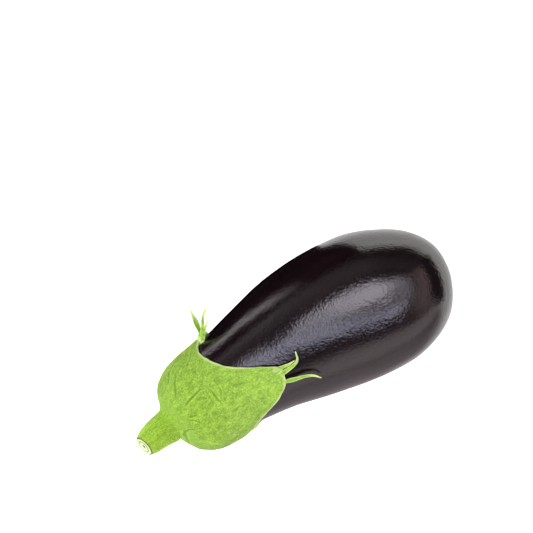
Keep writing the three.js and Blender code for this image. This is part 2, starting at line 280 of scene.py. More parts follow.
def ring_mesh(name, rings, start=None, end=None):
    """A closed mesh from an array (rings, columns, 3) in drawing millimetres, with poles at both ends."""
    m, n = rings.shape[:2]
    verts = to_row(rings.reshape(-1, 3))
    faces = []
    idx = np.arange(m * n).reshape(m, n)
    a, b = idx[:-1], idx[1:]
    quads = np.stack([a, np.roll(a, -1, 1), np.roll(b, -1, 1), b], -1).reshape(-1, 4)
    faces += quads.tolist()
    verts = verts.tolist()
    if start is not None:
        k = len(verts)
        verts.append(to_row(start).tolist())
        faces += [[k, int(idx[0, (j + 1) % n]), int(idx[0, j])] for j in range(n)]
    if end is not None:
        k = len(verts)
        verts.append(to_row(end).tolist())
        faces += [[k, int(idx[-1, j]), int(idx[-1, (j + 1) % n])] for j in range(n)]
    me = bpy.data.meshes.new(name)
    me.from_pydata(verts, [], faces)
    me.update()
    bm = bmesh.new()
    bm.from_mesh(me)
    if bm.calc_volume(signed=True) < 0:
        bmesh.ops.reverse_faces(bm, faces=bm.faces)
    bm.to_mesh(me)
    bm.free()
    o = bpy.data.objects.new(name, me)
    bpy.context.scene.collection.objects.link(o)
    return o


def coords(o):
    v = np.empty(len(o.data.vertices) * 3, np.float64)
    o.data.vertices.foreach_get("co", v)
    return v.reshape(-1, 3)


def set_coords(o, v):
    o.data.vertices.foreach_set("co", np.asarray(v, np.float64).ravel())
    o.data.update()


def attribute(o, name, values):
    values = np.asarray(values, float)
    kind = "FLOAT_VECTOR" if values.ndim == 2 else "FLOAT"
    a = o.data.attributes.new(name, kind, "POINT")
    a.data.foreach_set("vector" if values.ndim == 2 else "value", values.astype(np.float32).ravel())


def shade_smooth(o):
    o.data.polygons.foreach_set("use_smooth", [True] * len(o.data.polygons))
    o.data.update()


# ------------------------------------------------------------------ fruit

def make_fruit():
    cols, rows = 264, 330
    angle = np.arange(cols) * 360.0 / cols + 180  # the seam of the surface runs along the underside
    t = np.linspace(0, 1, rows + 1)[1:]
    # rings are closer together at the blossom end
    w = table([(0, 0), (0.1, 0.075), (0.5, 0.5), (0.88, 0.93), (0.975, 0.994), (1, 1)])(t)
    q = w * fruit_line.length
    q = q[:-1]
    s, r = fruit_line.s(q)[:, None], fruit_line.r(q)[:, None]
    A = np.broadcast_to(angle[None, :], (len(q), cols))
    S = np.broadcast_to(s, A.shape)
    R = np.broadcast_to(r, A.shape)
    P = place(S, A, R)
    # long soft facets and low bumps, which bend the reflections
    fade = smooth((LENGTH - S) / 14) * smooth((S - 30) / 12)
    T = np.radians(A)
    drift = S / 85.0
    ridges = (0.16 * np.cos(3 * T + 0.8 + drift) + 0.15 * np.cos(5 * T - 1.1 - 0.6 * drift)
              + 0.07 * np.cos(8 * T + 2.0 + 1.5 * drift)) * fade
    bumps = (0.30 * broad(P / (46, 30, 30)) + 0.12 * medium(P / (34, 11, 11))
             + 0.05 * fine(P / (12, 7, 7))) * (0.25 + 0.75 * fade)
    # the blossom end: a shallow dimple with a small dry scar
    qe = fruit_line.length - q[:, None]
    ring = np.hypot(qe, 0)
    dimple = -0.55 * np.exp(-(ring / 6.0) ** 2) * np.ones_like(A)
    scar = np.exp(-(ring / 2.3) ** 4) * np.ones_like(A)
    crack = 0.12 * np.cos(7 * T + 1.3) * np.exp(-((ring - 2.4) / 1.3) ** 2)
    c, along, side, up = frame_at(S)
    out = side * np.sin(T)[..., None] + up * np.cos(T)[..., None]
    ns = np.interp(q, fruit_line.Q, fruit_line.ns)[:, None, None]
    nr = np.interp(q, fruit_line.Q, fruit_line.nr)[:, None, None]
    normal = along * ns + out * nr
    P = P + normal * (ridges + bumps + dimple + crack + 0.22 * scar)[..., None]
    pole = place(fruit_line.S[0], 0, 0)
    tip = place(fruit_line.S[-1], 0, 0) + np.array([-0.33, 0, 0])
    # it settles a little flat where it rests
    z0 = -SHIFT[2]
    soft = lambda z: z0 + 0.5 * ((z - z0) + np.sqrt((z - z0) ** 2 + 0.12 ** 2))
    P[..., 2] = soft(P[..., 2])
    o = ring_mesh("fruit_skin", P, pole, tip)
    n = P.shape[0] * P.shape[1]
    sc = np.zeros(n + 2)
    sc[:n] = np.broadcast_to(np.exp(-(ring / 2.6) ** 3), A.shape).ravel()
    sc[n + 1] = 1
    attribute(o, "scar", sc)
    # shoulder: how close to the calyx the skin is
    sh = np.zeros(n + 2)
    sh[:n] = smooth(1 - (S - edge_of(A)) / 9.0).ravel()
    attribute(o, "shoulder", sh)
    # an unwrapped map for the bake: across is round the fruit, up is along it
    uv = o.data.uv_layers.new(name="OFBake")
    loops = np.empty(len(o.data.loops), int)
    o.data.loops.foreach_get("vertex_index", loops)
    col = np.zeros(n + 2)
    row = np.zeros(n + 2)
    col[:n] = np.tile(np.arange(cols), P.shape[0])
    row[:n] = np.repeat(w[:-1], cols)
    row[n], row[n + 1] = 0, 1
    U = np.zeros((len(loops), 2))
    start = np.empty(len(o.data.polygons), int)
    total = np.empty(len(o.data.polygons), int)
    o.data.polygons.foreach_get("loop_start", start)
    o.data.polygons.foreach_get("loop_total", total)
    for a, k in zip(start, total):
        vi = loops[a:a + k]
        cc = col[vi].copy()
        body = vi < n
        if body.any() and cc[body].max() - cc[body].min() > cols / 2:
            cc[body & (cc < cols / 2)] += cols
        if not body.all():
            cc[~body] = cc[body].mean()
        U[a:a + k, 0] = 0.005 + 0.99 * cc / cols
        U[a:a + k, 1] = 0.005 + 0.99 * row[vi]
    uv.data.foreach_set("uv", U.ravel())
    shade_smooth(o)
    return o


# ------------------------------------------------------------------ green parts

# short curved folds on the calyx: points (station, angle), depth, half-width
FOLDS = [
    ([(33.6, 8.3), (39.3, 11.3), (44.1, 12.8), (48.3, 14.0)], -0.55, 0.6),
    ([(51.8, 9.5), (53.4, -0.9), (53.7, -7.4), (54.9, -13.2)], -0.45, 0.42),
    ([(50.4, 7.5), (51.6, -1.5), (52.1, -8.0), (53.2, -14.0)], 0.32, 0.5),
    ([(57.4, 15.0), (57.7, 7.1), (57.8, -0.8), (56.6, -6.0)], -0.36, 0.42),
    ([(55.5, 14.0), (55.7, 6.5), (55.9, -0.8), (55.2, -6.5)], 0.32, 0.5),
    ([(21.2, -92), (21.1, -55.0), (23.1, -29.4), (26.8, -21.8), (30.3, -22.1), (33.4, -26.8)], -0.60, 0.55),
    ([(32.2, -4.8), (35.6, -7.0), (38.8, -8.3)], -0.40, 0.5),
    ([(30.8, -7.8), (34.3, -11.0), (37.6, -16.4)], -0.45, 0.5),
    ([(34.0, -45.0), (38.5, -57.0), (44.6, -64.4)], 0.40, 1.2),
    ([(64.0, -58.0), (68.9, -51.5), (74.4, -45.0)], -0.30, 0.5),
    ([(31.5, 24.6), (34.9, 38.8), (38.8, 53.1)], -0.34, 0.7),
    ([(30.6, 48.4), (34.3, 62.9), (40.5, 73.7)], -0.30, 0.7),
    ([(44.3, 41.7), (50.1, 55.0), (54.0, 70.0)], -0.32, 0.6),
    ([(57.0, -27.2), (62.9, -26.3), (69.2, -28.6)], -0.28, 0.8),
    ([(62.6, -1.0), (69.4, -6.4), (76.4, -10.5)], -0.25, 0.7),
    ([(26.0, 2), (31, 1), (36, 2)], 0.35, 1.2),
    ([(60, -18), (68, -19), (78, -21), (86, -23)], 0.30, 1.0),
    ([(34, 76), (42, 79), (50, 82), (58, 83)], 0.30, 1.0),
    ([(40, -128), (52, -129), (66, -131), (84, -131)], 0.35, 1.0),
    ([(40, 156), (52, 158), (66, 160), (74, 160)], 0.35, 1.0),
    ([(34, -100), (44, -104), (54, -102)], -0.30, 0.7),
    ([(36, 120), (44, 126), (50, 124)], -0.28, 0.7),
    ([(34, 104), (42, 108), (50, 106)], 0.25, 0.9),
    ([(38, -160), (46, -166), (54, -168)], -0.28, 0.7),
    ([(50, 140), (58, 146), (66, 152)], 0.25, 0.8),
    ([(56, -118), (64, -121), (72, -122)], -0.25, 0.6),
]


def wrinkles(count, seed):
    """Short random creases and raised fibres, crossing the flow of the tissue at all angles."""
    rng = np.random.RandomState(seed)
    out = []
    while len(out) < count:
        st, an = rng.uniform(27, 90), rng.uniform(-180, 180)
        if st > edge_of(an) - 3:
            continue
        turn, bend, length = rng.normal(0, 0.9), rng.normal(0, 0.5), rng.uniform(3.0, 8.0)
        pts = []
        for k in (-0.5, -0.17, 0.17, 0.5):
            d = turn + bend * k * 2
            pts.append((st + length * k * math.cos(d), an + math.degrees(length * k * math.sin(d) / 31.0)))
        sign = -1 if rng.rand() < 0.6 else 1
        out.append((pts, sign * rng.uniform(0.08, 0.20), rng.uniform(0.34, 0.6)))
    return out


STEM_FOLDS = [
    ([(4, -20), (9, -17), (15, -18)], -0.28, 0.6), ([(6, 28), (11, 32), (17, 30)], -0.25, 0.6), ([(2, 62), (9, 66), (16, 70)], 0.25, 0.8),
    ([(3, -62), (8, -58), (12, -60)], -0.25, 0.6), ([(8, 5), (12, 8)], -0.25, 0.7), ([(3, 6), (6, 9)], 0.2, 0.7),
    ([(10, -40), (14, -36)], -0.3, 0.6), ([(5, 130), (12, 134)], -0.25, 0.7), ([(6, -130), (14, -126)], -0.25, 0.7), ([(4, 180), (13, 176)], 0.25, 0.8),
]
FOLDS += STEM_FOLDS + wrinkles(230, 5)


def swell(s, angle):
    """Fuller on the -Y side, where the crown sits over the stalk, and a little on the other."""
    near = np.exp(-(((angle + 95 + 180) % 360 - 180) / 38) ** 2)
    far = np.exp(-(((angle - 90 + 180) % 360 - 180) / 35) ** 2)
    a = table([(0, 0.6), (4, 0.3), (9, 0.6), (14, 1.5), (18, 2.4), (21.3, 2.9), (23.5, 2.0), (27, 1.5), (32, 1.4), (38, 1.1),
               (44, 0.9), (50, 1.2), (55, 1.3), (60, 0.8), (66, 0.2), (75, 0), (120, 0)])
    b = table([(0, 0.5), (12, 0.5), (17, 0.2), (22, 0), (120, 0)])
    return near * a(s) + far * b(s)


def relief(s, angle, q, P):
    """Height of the stem and calyx surface above its plain outline, in mm."""
    T = np.radians(angle)
    on_stem = 1 - smooth((s - 14) / 10)
    crown = np.exp(-((s - 26) / 10.0) ** 2)
    h = 0.30 * np.cos(5 * T + 0.6) * on_stem * smooth((s + 2) / 8)
    h = h + 0.16 * np.cos(9 * T - 1.0 + s / 9.0) * on_stem
    # a rib runs from the stem to each lobe
    for lobe in LOBES:
        d = (angle - lobe + 180) % 360 - 180
        width = 17 - 8 * smooth((s - 25) / 45)
        h = h + (0.55 * crown + 0.30 * smooth((s - 24) / 14)) * np.exp(-(d / width) ** 2)
    F = np.stack([np.cos(T) * 32, np.sin(T) * 32, q], -1)  # a place on the surface that ignores taper
    grow = 0.45 + 0.55 * smooth((s - 18) / 10)
    h = h + grow * (0.62 * broad(F / (14, 14, 16) + 3.1) + 0.42 * medium(F / (6.0, 6.0, 7.0)) + 0.17 * broad(F / (3.1, 3.1, 3.6) + 9.7))
    # fibrous wrinkles along the tissue, and fine pebbling
    h = h + (0.12 * fine(F / (2.0, 2.0, 7.0)) + 0.07 * stroke(F / (1.3, 1.3, 3.0))) * (0.7 + 0.5 * medium(F / 11.0))
    return h + swell(s, angle)


def fold_relief(s, angle):
    shape = s.shape
    x, y = s.ravel(), np.radians(angle).ravel() * 31.0
    h = np.zeros(x.size)
    period = 2 * np.pi * 31.0
    order = np.argsort(x)
    xs = x[order]
    for pts, depth, width in FOLDS:
        p = np.array([(a, math.radians(b) * 31.0) for a, b in pts])
        reach = 5 * width
        i0, i1 = np.searchsorted(xs, [p[:, 0].min() - reach, p[:, 0].max() + reach])
        pick = order[i0:i1]
        mid = p[:, 1].mean()
        wy = (y[pick] - mid + period / 2) % period - period / 2
        half = np.abs(p[:, 1] - mid).max() + reach
        keep = np.abs(wy) < half
        pick, wy = pick[keep], wy[keep]
        px = x[pick]
        q = p - (0, mid)
        best = np.full(px.size, 1e9)
        where = np.zeros(px.size)
        for i in range(len(q) - 1):
            a, d = q[i], q[i + 1] - q[i]
            t = np.clip(((px - a[0]) * d[0] + (wy - a[1]) * d[1]) / (d @ d), 0, 1)
            dist = np.hypot(px - a[0] - t * d[0], wy - a[1] - t * d[1])
            where = np.where(dist < best, (i + t) / (len(q) - 1), where)
            best = np.minimum(best, dist)
        ends = np.clip(np.sin(np.pi * np.clip(where, 0.02, 0.98)), 0, 1) ** 0.6
        add = depth * ends * np.exp(-(best / width) ** 2)
        if depth < 0:  # a crease pushes up a soft lip on each side
            add += -0.5 * depth * ends * np.exp(-((best - 2.2 * width) / (1.1 * width)) ** 2)
        h[pick] += add
    return h.reshape(shape)


COLS = 540


def make_calyx():
    angle = np.arange(COLS) * 360.0 / COLS + 180
    # the rim is a little uneven
    wob = stroke(np.stack([np.cos(np.radians(angle)) * 5.5, np.sin(np.radians(angle)) * 5.5, np.zeros(COLS)], -1))
    wob2 = fine(np.stack([np.cos(np.radians(angle)) * 14, np.sin(np.radians(angle)) * 14, np.zeros(COLS)], -1))
    edge = edge_of(angle) + 0.55 * wob + 0.22 * wob2
    rows = 138
    v = np.linspace(0, 1, rows) ** 1.0
    q0 = green_line.at(JOINT_S)
    qe = green_line.at(edge)
    Q = q0 + (qe[None, :] - q0) * v[:, None]
    A = np.broadcast_to(angle, Q.shape)
    S, R = green_line.s(Q), green_line.r(Q)
    E = np.broadcast_to(edge, Q.shape)
    to_edge = E - S
    lobe = smooth((E - 66) / 24)
    skin = fruit_radius(np.maximum(S, 27)) + GAP + RIM
    thin = np.where(S > 40, smooth((15 - to_edge) / 13), 0)
    R = R + (skin - R) * thin
    lift = 1.1 * lobe * smooth((16 - to_edge) / 16)
    P0 = place(S, A, R)
    keep = 0.25 + 0.75 * smooth(to_edge / 5)
    h = relief(S, A, Q, P0) * keep * (0.35 + 0.65 * smooth((Q - q0) / 4 + 0.35))
    h = h + fold_relief(S, A) * smooth(to_edge / 6) * smooth((Q - q0) / 1.5)
    # folds gather towards the points of the lobes
    for centre, start in ((-22, 80), (-131, 80), (160, 64), (83, 54)):
        d = (A - centre + 180) % 360 - 180
        gather = smooth((S - start) / 12) * np.exp(-(d / 11) ** 2)
        h = h + 0.20 * gather * np.cos(np.radians(d * (26 + 10 * smooth((S - start) / 14))))
    # a slightly swollen rim
    h = h + 0.16 * np.exp(-((to_edge - 1.0) / 0.9) ** 2) - 0.10 * np.exp(-((to_edge - 3.2) / 1.4) ** 2)
    outer_q = Q
    # along the outline's normal
    ns, nr = np.interp(Q, green_line.Q, green_line.ns), np.interp(Q, green_line.Q, green_line.nr)
    outer = place(S + ns * h * 0.6, A, R + nr * h, lift)
    # rim: a rounded edge between the outer and inner faces
    rin = fruit_radius(E) + GAP
    rim = []
    for f, out in ((0.12, 0.28), (0.32, 0.48), (0.55, 0.52), (0.78, 0.42), (0.94, 0.2)):
        ro = R[-1] + nr[-1] * h[-1]
        rim.append(place(edge + out, angle, ro + (rin[-1] - ro) * f, lift[-1]))
    rim = np.stack(rim)
    inner = []
    qf = fruit_line.at(edge)
    for u in (1, 0.97, 0.93, 0.87, 0.79, 0.69, 0.58, 0.47, 0.37, 0.29, 0.22, 0.16, 0.1, 0.04):
        ql = qf * u
        si, ri = fruit_line.off(ql, GAP)
        li = 1.1 * smooth((edge - 66) / 24) * smooth((16 - (edge - si)) / 16)
        inner.append(place(si, angle, ri, li))
    inner = np.stack(inner)
    rings = np.concatenate([outer, rim, inner])
    start = place(JOINT_S, 0, 0)
    end = place(fruit_line.off(0, GAP)[0], 0, 0)
    o = ring_mesh("calyx_leaves", rings, start, end)
    return o, outer[0]


# the thin leaf points: stations, angles and heights of the middle line, then half-width and
# half-thickness at the root, the middle and the tip, and how the blade is turned
POINTS = [
    dict(xyz=[(57, 37.3, 43), (60.3, 40.9, 45), (62.4, 44.3, 47), (63.0, 48.1, 49), (63.6, 53.4, 51), (64.1, 58.7, 52)],
         w=[(0, 1.4), (0.22, 1.15), (0.35, 1.0), (0.6, 1.75), (0.8, 1.25), (0.93, 0.7), (1, 0.4)], t=[(0, 0.9), (0.5, 0.6), (1, 0.3)], face="up", fold=0.35),
    dict(xyz=[(57.5, 36.9, 44), (61.4, 40.3, 46), (64.2, 44.1, 49), (67.0, 48.5, 52), (69.9, 52.4, 54), (73.8, 55.1, 55)],
         w=[(0, 1.5), (0.3, 1.4), (0.55, 1.0), (0.8, 0.9), (0.93, 0.65), (1, 0.4)], t=[(0, 0.9), (0.5, 0.6), (1, 0.3)], face="up", fold=0.3),
    dict(xyz=[(58, 36.3, 44.6), (62.3, 39.9, 47), (65.1, 43.3, 50), (67.8, 45.6, 52), (70.2, 47.6, 53.5)],
         w=[(0, 1.5), (0.4, 1.3), (0.75, 1.0), (1, 0.55)], t=[(0, 0.85), (0.5, 0.6), (1, 0.35)], face="up", fold=0.25),
    dict(at=[(85, -12.0, 1.3), (92.0, -12.9, 1.6), (95.7, -13.7, 1.8), (99.5, -13.9, 2.2), (104.1, -12.9, 2.8)],
         w=[(0, 1.3), (0.35, 1.25), (0.7, 0.9), (1, 0.25)], t=[(0, 0.7), (0.5, 0.55), (1, 0.2)], face="skin", fold=0.25),
    dict(at=[(85, -18.4, 1.3), (91.4, -18.5, 1.8), (95.3, -18.2, 2.2), (100.3, -16.8, 2.6), (104.7, -14.4, 3.3), (106.3, -11.1, 4.0), (107.0, -6.1, 5.0)],
         w=[(0, 1.6), (0.3, 1.55), (0.55, 1.2), (0.75, 0.85), (1, 0.25)], t=[(0, 0.75), (0.5, 0.6), (1, 0.2)], face="skin", fold=0.45),
    dict(at=[(85, -27.8, 1.3), (91.2, -27.0, 1.8), (94.3, -27.2, 2.2), (98.4, -28.2, 2.4), (103.8, -28.8, 2.8), (109.3, -31.2, 3.0), (112.8, -37.3, 2.4)],
         w=[(0, 1.1), (0.22, 0.95), (0.42, 1.55), (0.6, 1.35), (0.85, 0.9), (1, 0.3)], t=[(0, 0.75), (0.5, 0.6), (1, 0.2)], face="skin", fold=0.4),
    dict(at=[(84, -129, 1.2), (91, -128, 2.4), (97, -126, 3.0), (104, -120.5, 4.2)],
         w=[(0, 1.4), (0.35, 1.2), (0.7, 0.8), (1, 0.22)], t=[(0, 0.7), (0.5, 0.5), (1, 0.2)], face="skin", fold=0.4),
    dict(at=[(84, -133, 1.2), (90, -134.6, 2.3), (97, -138, 2.6), (103, -144, 2.4)],
         w=[(0, 1.3), (0.35, 1.1), (0.7, 0.75), (1, 0.22)], t=[(0, 0.7), (0.5, 0.5), (1, 0.2)], face="skin", fold=0.35),
    dict(at=[(70, 158, 1.2), (77, 156.6, 2.2), (83, 153, 2.4), (88.5, 147.5, 3.2)],
         w=[(0, 1.3), (0.35, 1.1), (0.7, 0.75), (1, 0.22)], t=[(0, 0.65), (0.5, 0.5), (1, 0.2)], face="skin", fold=0.35),
    dict(at=[(70, 162, 1.1), (77, 163.4, 2.0), (82, 166, 1.9), (86.5, 170, 1.7)],
         w=[(0, 1.2), (0.35, 1.0), (0.7, 0.7), (1, 0.22)], t=[(0, 0.6), (0.5, 0.45), (1, 0.2)], face="skin", fold=0.3),
]


def spline(points, n):
    """Centripetal-like smooth curve through 3-D points, n samples evenly spaced."""
    p = np.asarray(points, float)
    d = np.concatenate([[0], np.cumsum(np.linalg.norm(np.diff(p, axis=0), axis=1))])
    fs = [table(list(zip(d, p[:, k]))) for k in range(3)]
    u = np.linspace(0, d[-1], 400)
    c = np.stack([f(u) for f in fs], -1)
    ext = np.concatenate([2 * c[0] - c[1:31][::-1], c, 2 * c[-1] - c[-31:-1][::-1]])
    k = np.exp(-0.5 * (np.arange(-30, 31) / 11.0) ** 2)
    k /= k.sum()
    c = np.stack([np.convolve(ext[:, j], k, "valid") for j in range(3)], -1)
    d = np.concatenate([[0], np.cumsum(np.linalg.norm(np.diff(c, axis=0), axis=1))])
    u = np.linspace(0, d[-1], n)
    return np.stack([np.interp(u, d, c[:, j]) for j in range(3)], -1)


def make_point(i, spec):
    n, m = 44, 22
    if "xyz" in spec:
        ctrl = spec["xyz"]
    else:
        ctrl = [place(s, a, fruit_radius(s), h) for s, a, h in spec["at"]]
    c = spline(ctrl, n)
    t = np.linspace(0, 1, n)
    tang = np.gradient(c, axis=0)
    tang /= np.linalg.norm(tang, axis=1, keepdims=True)
    middle, along, _, _ = frame_at(c[:, 0])
    out = c - middle
    out -= along * (out * along).sum(1, keepdims=True)
    out /= np.linalg.norm(out, axis=1, keepdims=True)
    if spec["face"] == "up":
        ref = np.array([0, 0, 1.0]) * 0.9 + out * 0.25
    else:
        ref = out
    wide = np.cross(ref, tang)
    wide /= np.linalg.norm(wide, axis=1, keepdims=True)
    nor = np.cross(tang, wide)
    W, H = table(spec["w"])(t), table(spec["t"])(t)
    roll = np.sin(t * 3.0 + i) * 0.35
    phi = np.arange(m) * 2 * np.pi / m
    x = np.cos(phi)[None, :] * W[:, None]
    rel = np.cos(phi)[None, :]
    y = np.sin(phi)[None, :] * H[:, None] * (1 - 0.35 * rel ** 2)
    y = y + spec["fold"] * W[:, None] * (rel ** 2 - 0.4) * smooth(t / 0.3)[:, None]
    cr, sr = np.cos(roll)[:, None], np.sin(roll)[:, None]
    x, y = x * cr - y * sr, x * sr + y * cr
    P = c[:, None, :] + wide[:, None, :] * x[..., None] + nor[:, None, :] * y[..., None]
    P = P + 0.07 * fine(P / 1.7 + i * 7.3)[..., None] * nor[:, None, :]
    o = ring_mesh(f"leaf_point_{i}", P, c[0] - tang[0] * 0.2, c[-1] + tang[-1] * H[-1] * 0.9)
    return o, c, W


def join_points(calyx):
    lines, widths, ts = [], [], []
    for i, spec in enumerate(POINTS):
        o, c, W = make_point(i, spec)
        mod = calyx.modifiers.new(f"join{i}", "BOOLEAN")
        mod.operation, mod.object = "UNION", o
        try:
            mod.solver = "MANIFOLD"
        except TypeError:
            mod.solver = "EXACT"
        lines.append(c)
        widths.append(W)
        ts.append(np.linspace(0, 1, len(c)))
        dg = bpy.context.evaluated_depsgraph_get()
        me = bpy.data.meshes.new_from_object(calyx.evaluated_get(dg))
        calyx.modifiers.clear()
        old = calyx.data
        calyx.data = me
        bpy.data.meshes.remove(old)
        bpy.data.objects.remove(o)
    me = calyx.data
    me.name = "calyx_leaves"
    return np.concatenate(lines), np.concatenate(widths), np.concatenate(ts)


def soften(o, centres, radius, rounds):
    """Rounds off the creases near the given places (row frame, metres)."""
    v = coords(o)
    w = np.zeros(len(v))
    for c in centres:
        d = np.linalg.norm(v - c, axis=1)
        w = np.maximum(w, smooth(1 - d / radius))
    e = np.empty(len(o.data.edges) * 2, int)
    o.data.edges.foreach_get("vertices", e)
    e = e.reshape(-1, 2)
    near = (w[e[:, 0]] > 0) | (w[e[:, 1]] > 0)
    e = e[near]
    for _ in range(rounds):
        acc = np.zeros_like(v)
        cnt = np.zeros(len(v))
        np.add.at(acc, e[:, 0], v[e[:, 1]])
        np.add.at(acc, e[:, 1], v[e[:, 0]])
        np.add.at(cnt, e[:, 0], 1)
        np.add.at(cnt, e[:, 1], 1)
        ok = cnt > 0
        mean = v.copy()
        mean[ok] = acc[ok] / cnt[ok, None]
        v = v + (mean - v) * (0.5 * w)[:, None]
    set_coords(o, v)


def surface_marks(o, lines=None, widths=None, ts=None):
    """Flow, rim and tip attributes for the green materials, from where each point lies."""
    v = coords(o) / MM - SHIFT
    s = v[:, 0]
    for _ in range(3):  # the station whose section holds the point
        c, along, side, up = frame_at(s)
        s = s + ((v - c) * along).sum(1)
    c, along, side, up = frame_at(s)
    y, z = ((v - c) * side).sum(1), ((v - c) * up).sum(1) / HEIGHT_RATIO
    angle = np.degrees(np.arctan2(y, z))
    r = np.hypot(y, z)
    kd = KDTree(len(green_line.S[::4]))
    for i, (a, b) in enumerate(zip(green_line.S[::4], green_line.R[::4])):
        kd.insert((a, b, 0), i)
    kd.balance()
    Q4 = green_line.Q[::4]
    q = np.array([Q4[kd.find((a, b, 0))[1]] for a, b in zip(s, r)])
    T = np.radians(angle)
    attribute(o, "flow", np.stack([np.cos(T) * 32, np.sin(T) * 32, q], -1) * 0.1)
    to_edge = edge_of(angle) - s
    side_on = np.exp(-((angle + 52) / 26) ** 2) + 0.5 * np.exp(-((np.abs(angle) - 130) / 30) ** 2)
    rim = smooth(1 - (to_edge - 0.35) / (0.8 + 1.5 * side_on)) * (0.65 + 0.35 * side_on)
    tip = np.zeros(len(v))
    if lines is not None:
        kd = KDTree(len(lines))
        for i, p in enumerate(lines):
            kd.insert(p, i)
        kd.balance()
        near = [kd.find(p) for p in v]
        idx = np.array([n[1] for n in near])
        dist = np.array([n[2] for n in near])
        on = smooth(1.6 - dist / (widths[idx] + 0.25))
        free = on * smooth((ts[idx] - 0.2) / 0.15)
        tip = free * smooth((ts[idx] - 0.55) / 0.45)
        edge_of_blade = free * smooth((dist / widths[idx] - 0.62) / 0.3)
        rim = np.where(free > 0.3, 0.55 * edge_of_blade, rim)
    attribute(o, "rim", rim)
    attribute(o, "tip", tip)
    attribute(o, "fold", fold_relief(s, angle) * smooth(to_edge / 6))
    return s, angle


def make_stem(ring0):
    """The stalk, from the calyx's first ring to the cut face."""
    cols = COLS // 2
    angle = (np.arange(cols) * 2) * 360.0 / COLS + 180
    q0 = green_line.at(JOINT_S)
    rows = 74
    Q = (q0 * np.linspace(1, 0, rows))[:, None] * np.ones((1, cols))
    A = np.broadcast_to(angle, Q.shape)
    S, R = green_line.s(Q), green_line.r(Q)
    P0 = place(S, A, R)
    h = relief(S, A, Q, P0) * (0.35 + 0.65 * smooth((q0 - Q) / 4 + 0.35))
    h = h * (0.55 + 0.45 * smooth(S / 3)) + fold_relief(S, A) * smooth(S / 2) * smooth((q0 - Q) / 2)
    ns, nr = np.interp(Q, green_line.Q, green_line.ns), np.interp(Q, green_line.Q, green_line.nr)
    body = place(S + ns * h * 0.6, A, R + nr * h)
    body[0] = ring0[::2]
    # the cut: a bevelled bark rim, then a face with growth rings and a pith
    c, along, side, up = frame_at(np.zeros(1))
    rim_r = (R[-1] + h[-1])
    T = np.radians(angle)
    dirs = side * np.sin(T)[:, None] + up * np.cos(T)[:, None] * HEIGHT_RATIO
    face, frac = [], []
    for f in (0.985, 0.955, 0.925, 0.89, 0.85, 0.8, 0.75, 0.7, 0.65, 0.6, 0.55, 0.5, 0.44, 0.38, 0.32, 0.26, 0.2, 0.15, 0.1, 0.05):
        # how far the face stands out of the plane of the cut
        d = 0.32 * smooth((1 - f) / 0.05)
        d -= 0.22 * math.exp(-((f - 0.9) / 0.035) ** 2)
        d += 0.10 * math.exp(-((f - 0.8) / 0.06) ** 2) - 0.14 * math.exp(-((f - 0.62) / 0.05) ** 2)
        d += 0.12 * math.exp(-((f - 0.42) / 0.1) ** 2) - 0.55 * math.exp(-(f / 0.17) ** 2)
        p = c + dirs * (rim_r * f)[:, None] - along * d
        p = p - along * (0.06 * fine(p * 1.1) * smooth((1 - f) / 0.1))[:, None]
        face.append(p)
    rings = np.concatenate([body, np.stack(face)])
    start = place(JOINT_S, 0, 0)
    end = c[0] + along[0] * 0.23
    o = ring_mesh("stem_stalk", rings, start, end)
    return o, angle, rim_r


def cut_attribute(o, rim_r, angle):
    """How far from the middle of the cut face a point is (0 to 1 on it, 2 elsewhere)."""
    v = coords(o) / MM - SHIFT
    c, along, side, up = frame_at(np.zeros(1))
    d = v - c[0]
    depth = d @ along[0]
    y, z = d @ side[0], d @ up[0] / HEIGHT_RATIO
    r = np.hypot(y, z)
    a = np.degrees(np.arctan2(y, z)) % 360
    order = np.argsort(angle % 360)
    edge = np.interp(a, (angle % 360)[order], rim_r[order], period=360)
    frac = r / edge
    # the side wall just below the rim counts as past 1
    value = np.where(depth < 0.02, np.minimum(frac, 1.0), 1.0 + np.clip(depth / 3.0, 0, 1))
    value = np.where((depth > 0.02) & (frac < 0.2) & (depth < 1.0), frac, value)
    attribute(o, "cut", value)


def mark_cap(o, axis_s, sign):
    """The hidden disc at the joint meets the skin at a sharp edge, so the skin's shading runs on."""
    c, along, _, _ = frame_at(np.array([axis_s]))
    v = coords(o) / MM - SHIFT
    flat = np.abs((v - c[0]) @ along[0]) < 1e-3
    me = o.data
    bm = bmesh.new()
    bm.from_mesh(me)
    bm.verts.ensure_lookup_table()
    for f in bm.faces:
        if all(flat[x.index] for x in f.verts):
            for e in f.edges:
                if any(not all(flat[x.index] for x in g.verts) for g in e.link_faces):
                    e.smooth = False
    bm.to_mesh(me)
    bm.free()


fruit = make_fruit()
calyx, first_ring = make_calyx()
lines, widths, ts = join_points(calyx)
soften(calyx, [to_row(l) for l in lines.reshape(len(POINTS), -1, 3)[:, 7:24:2].reshape(-1, 3)], 2.2 * MM, 6)
surface_marks(calyx, lines, widths, ts)
stem, stem_angle, stem_rim = make_stem(first_ring)
surface_marks(stem)
cut_attribute(stem, stem_rim, stem_angle)
for o in (calyx, stem):
    shade_smooth(o)
    mark_cap(o, JOINT_S, 1)


# ------------------------------------------------------------------ materials

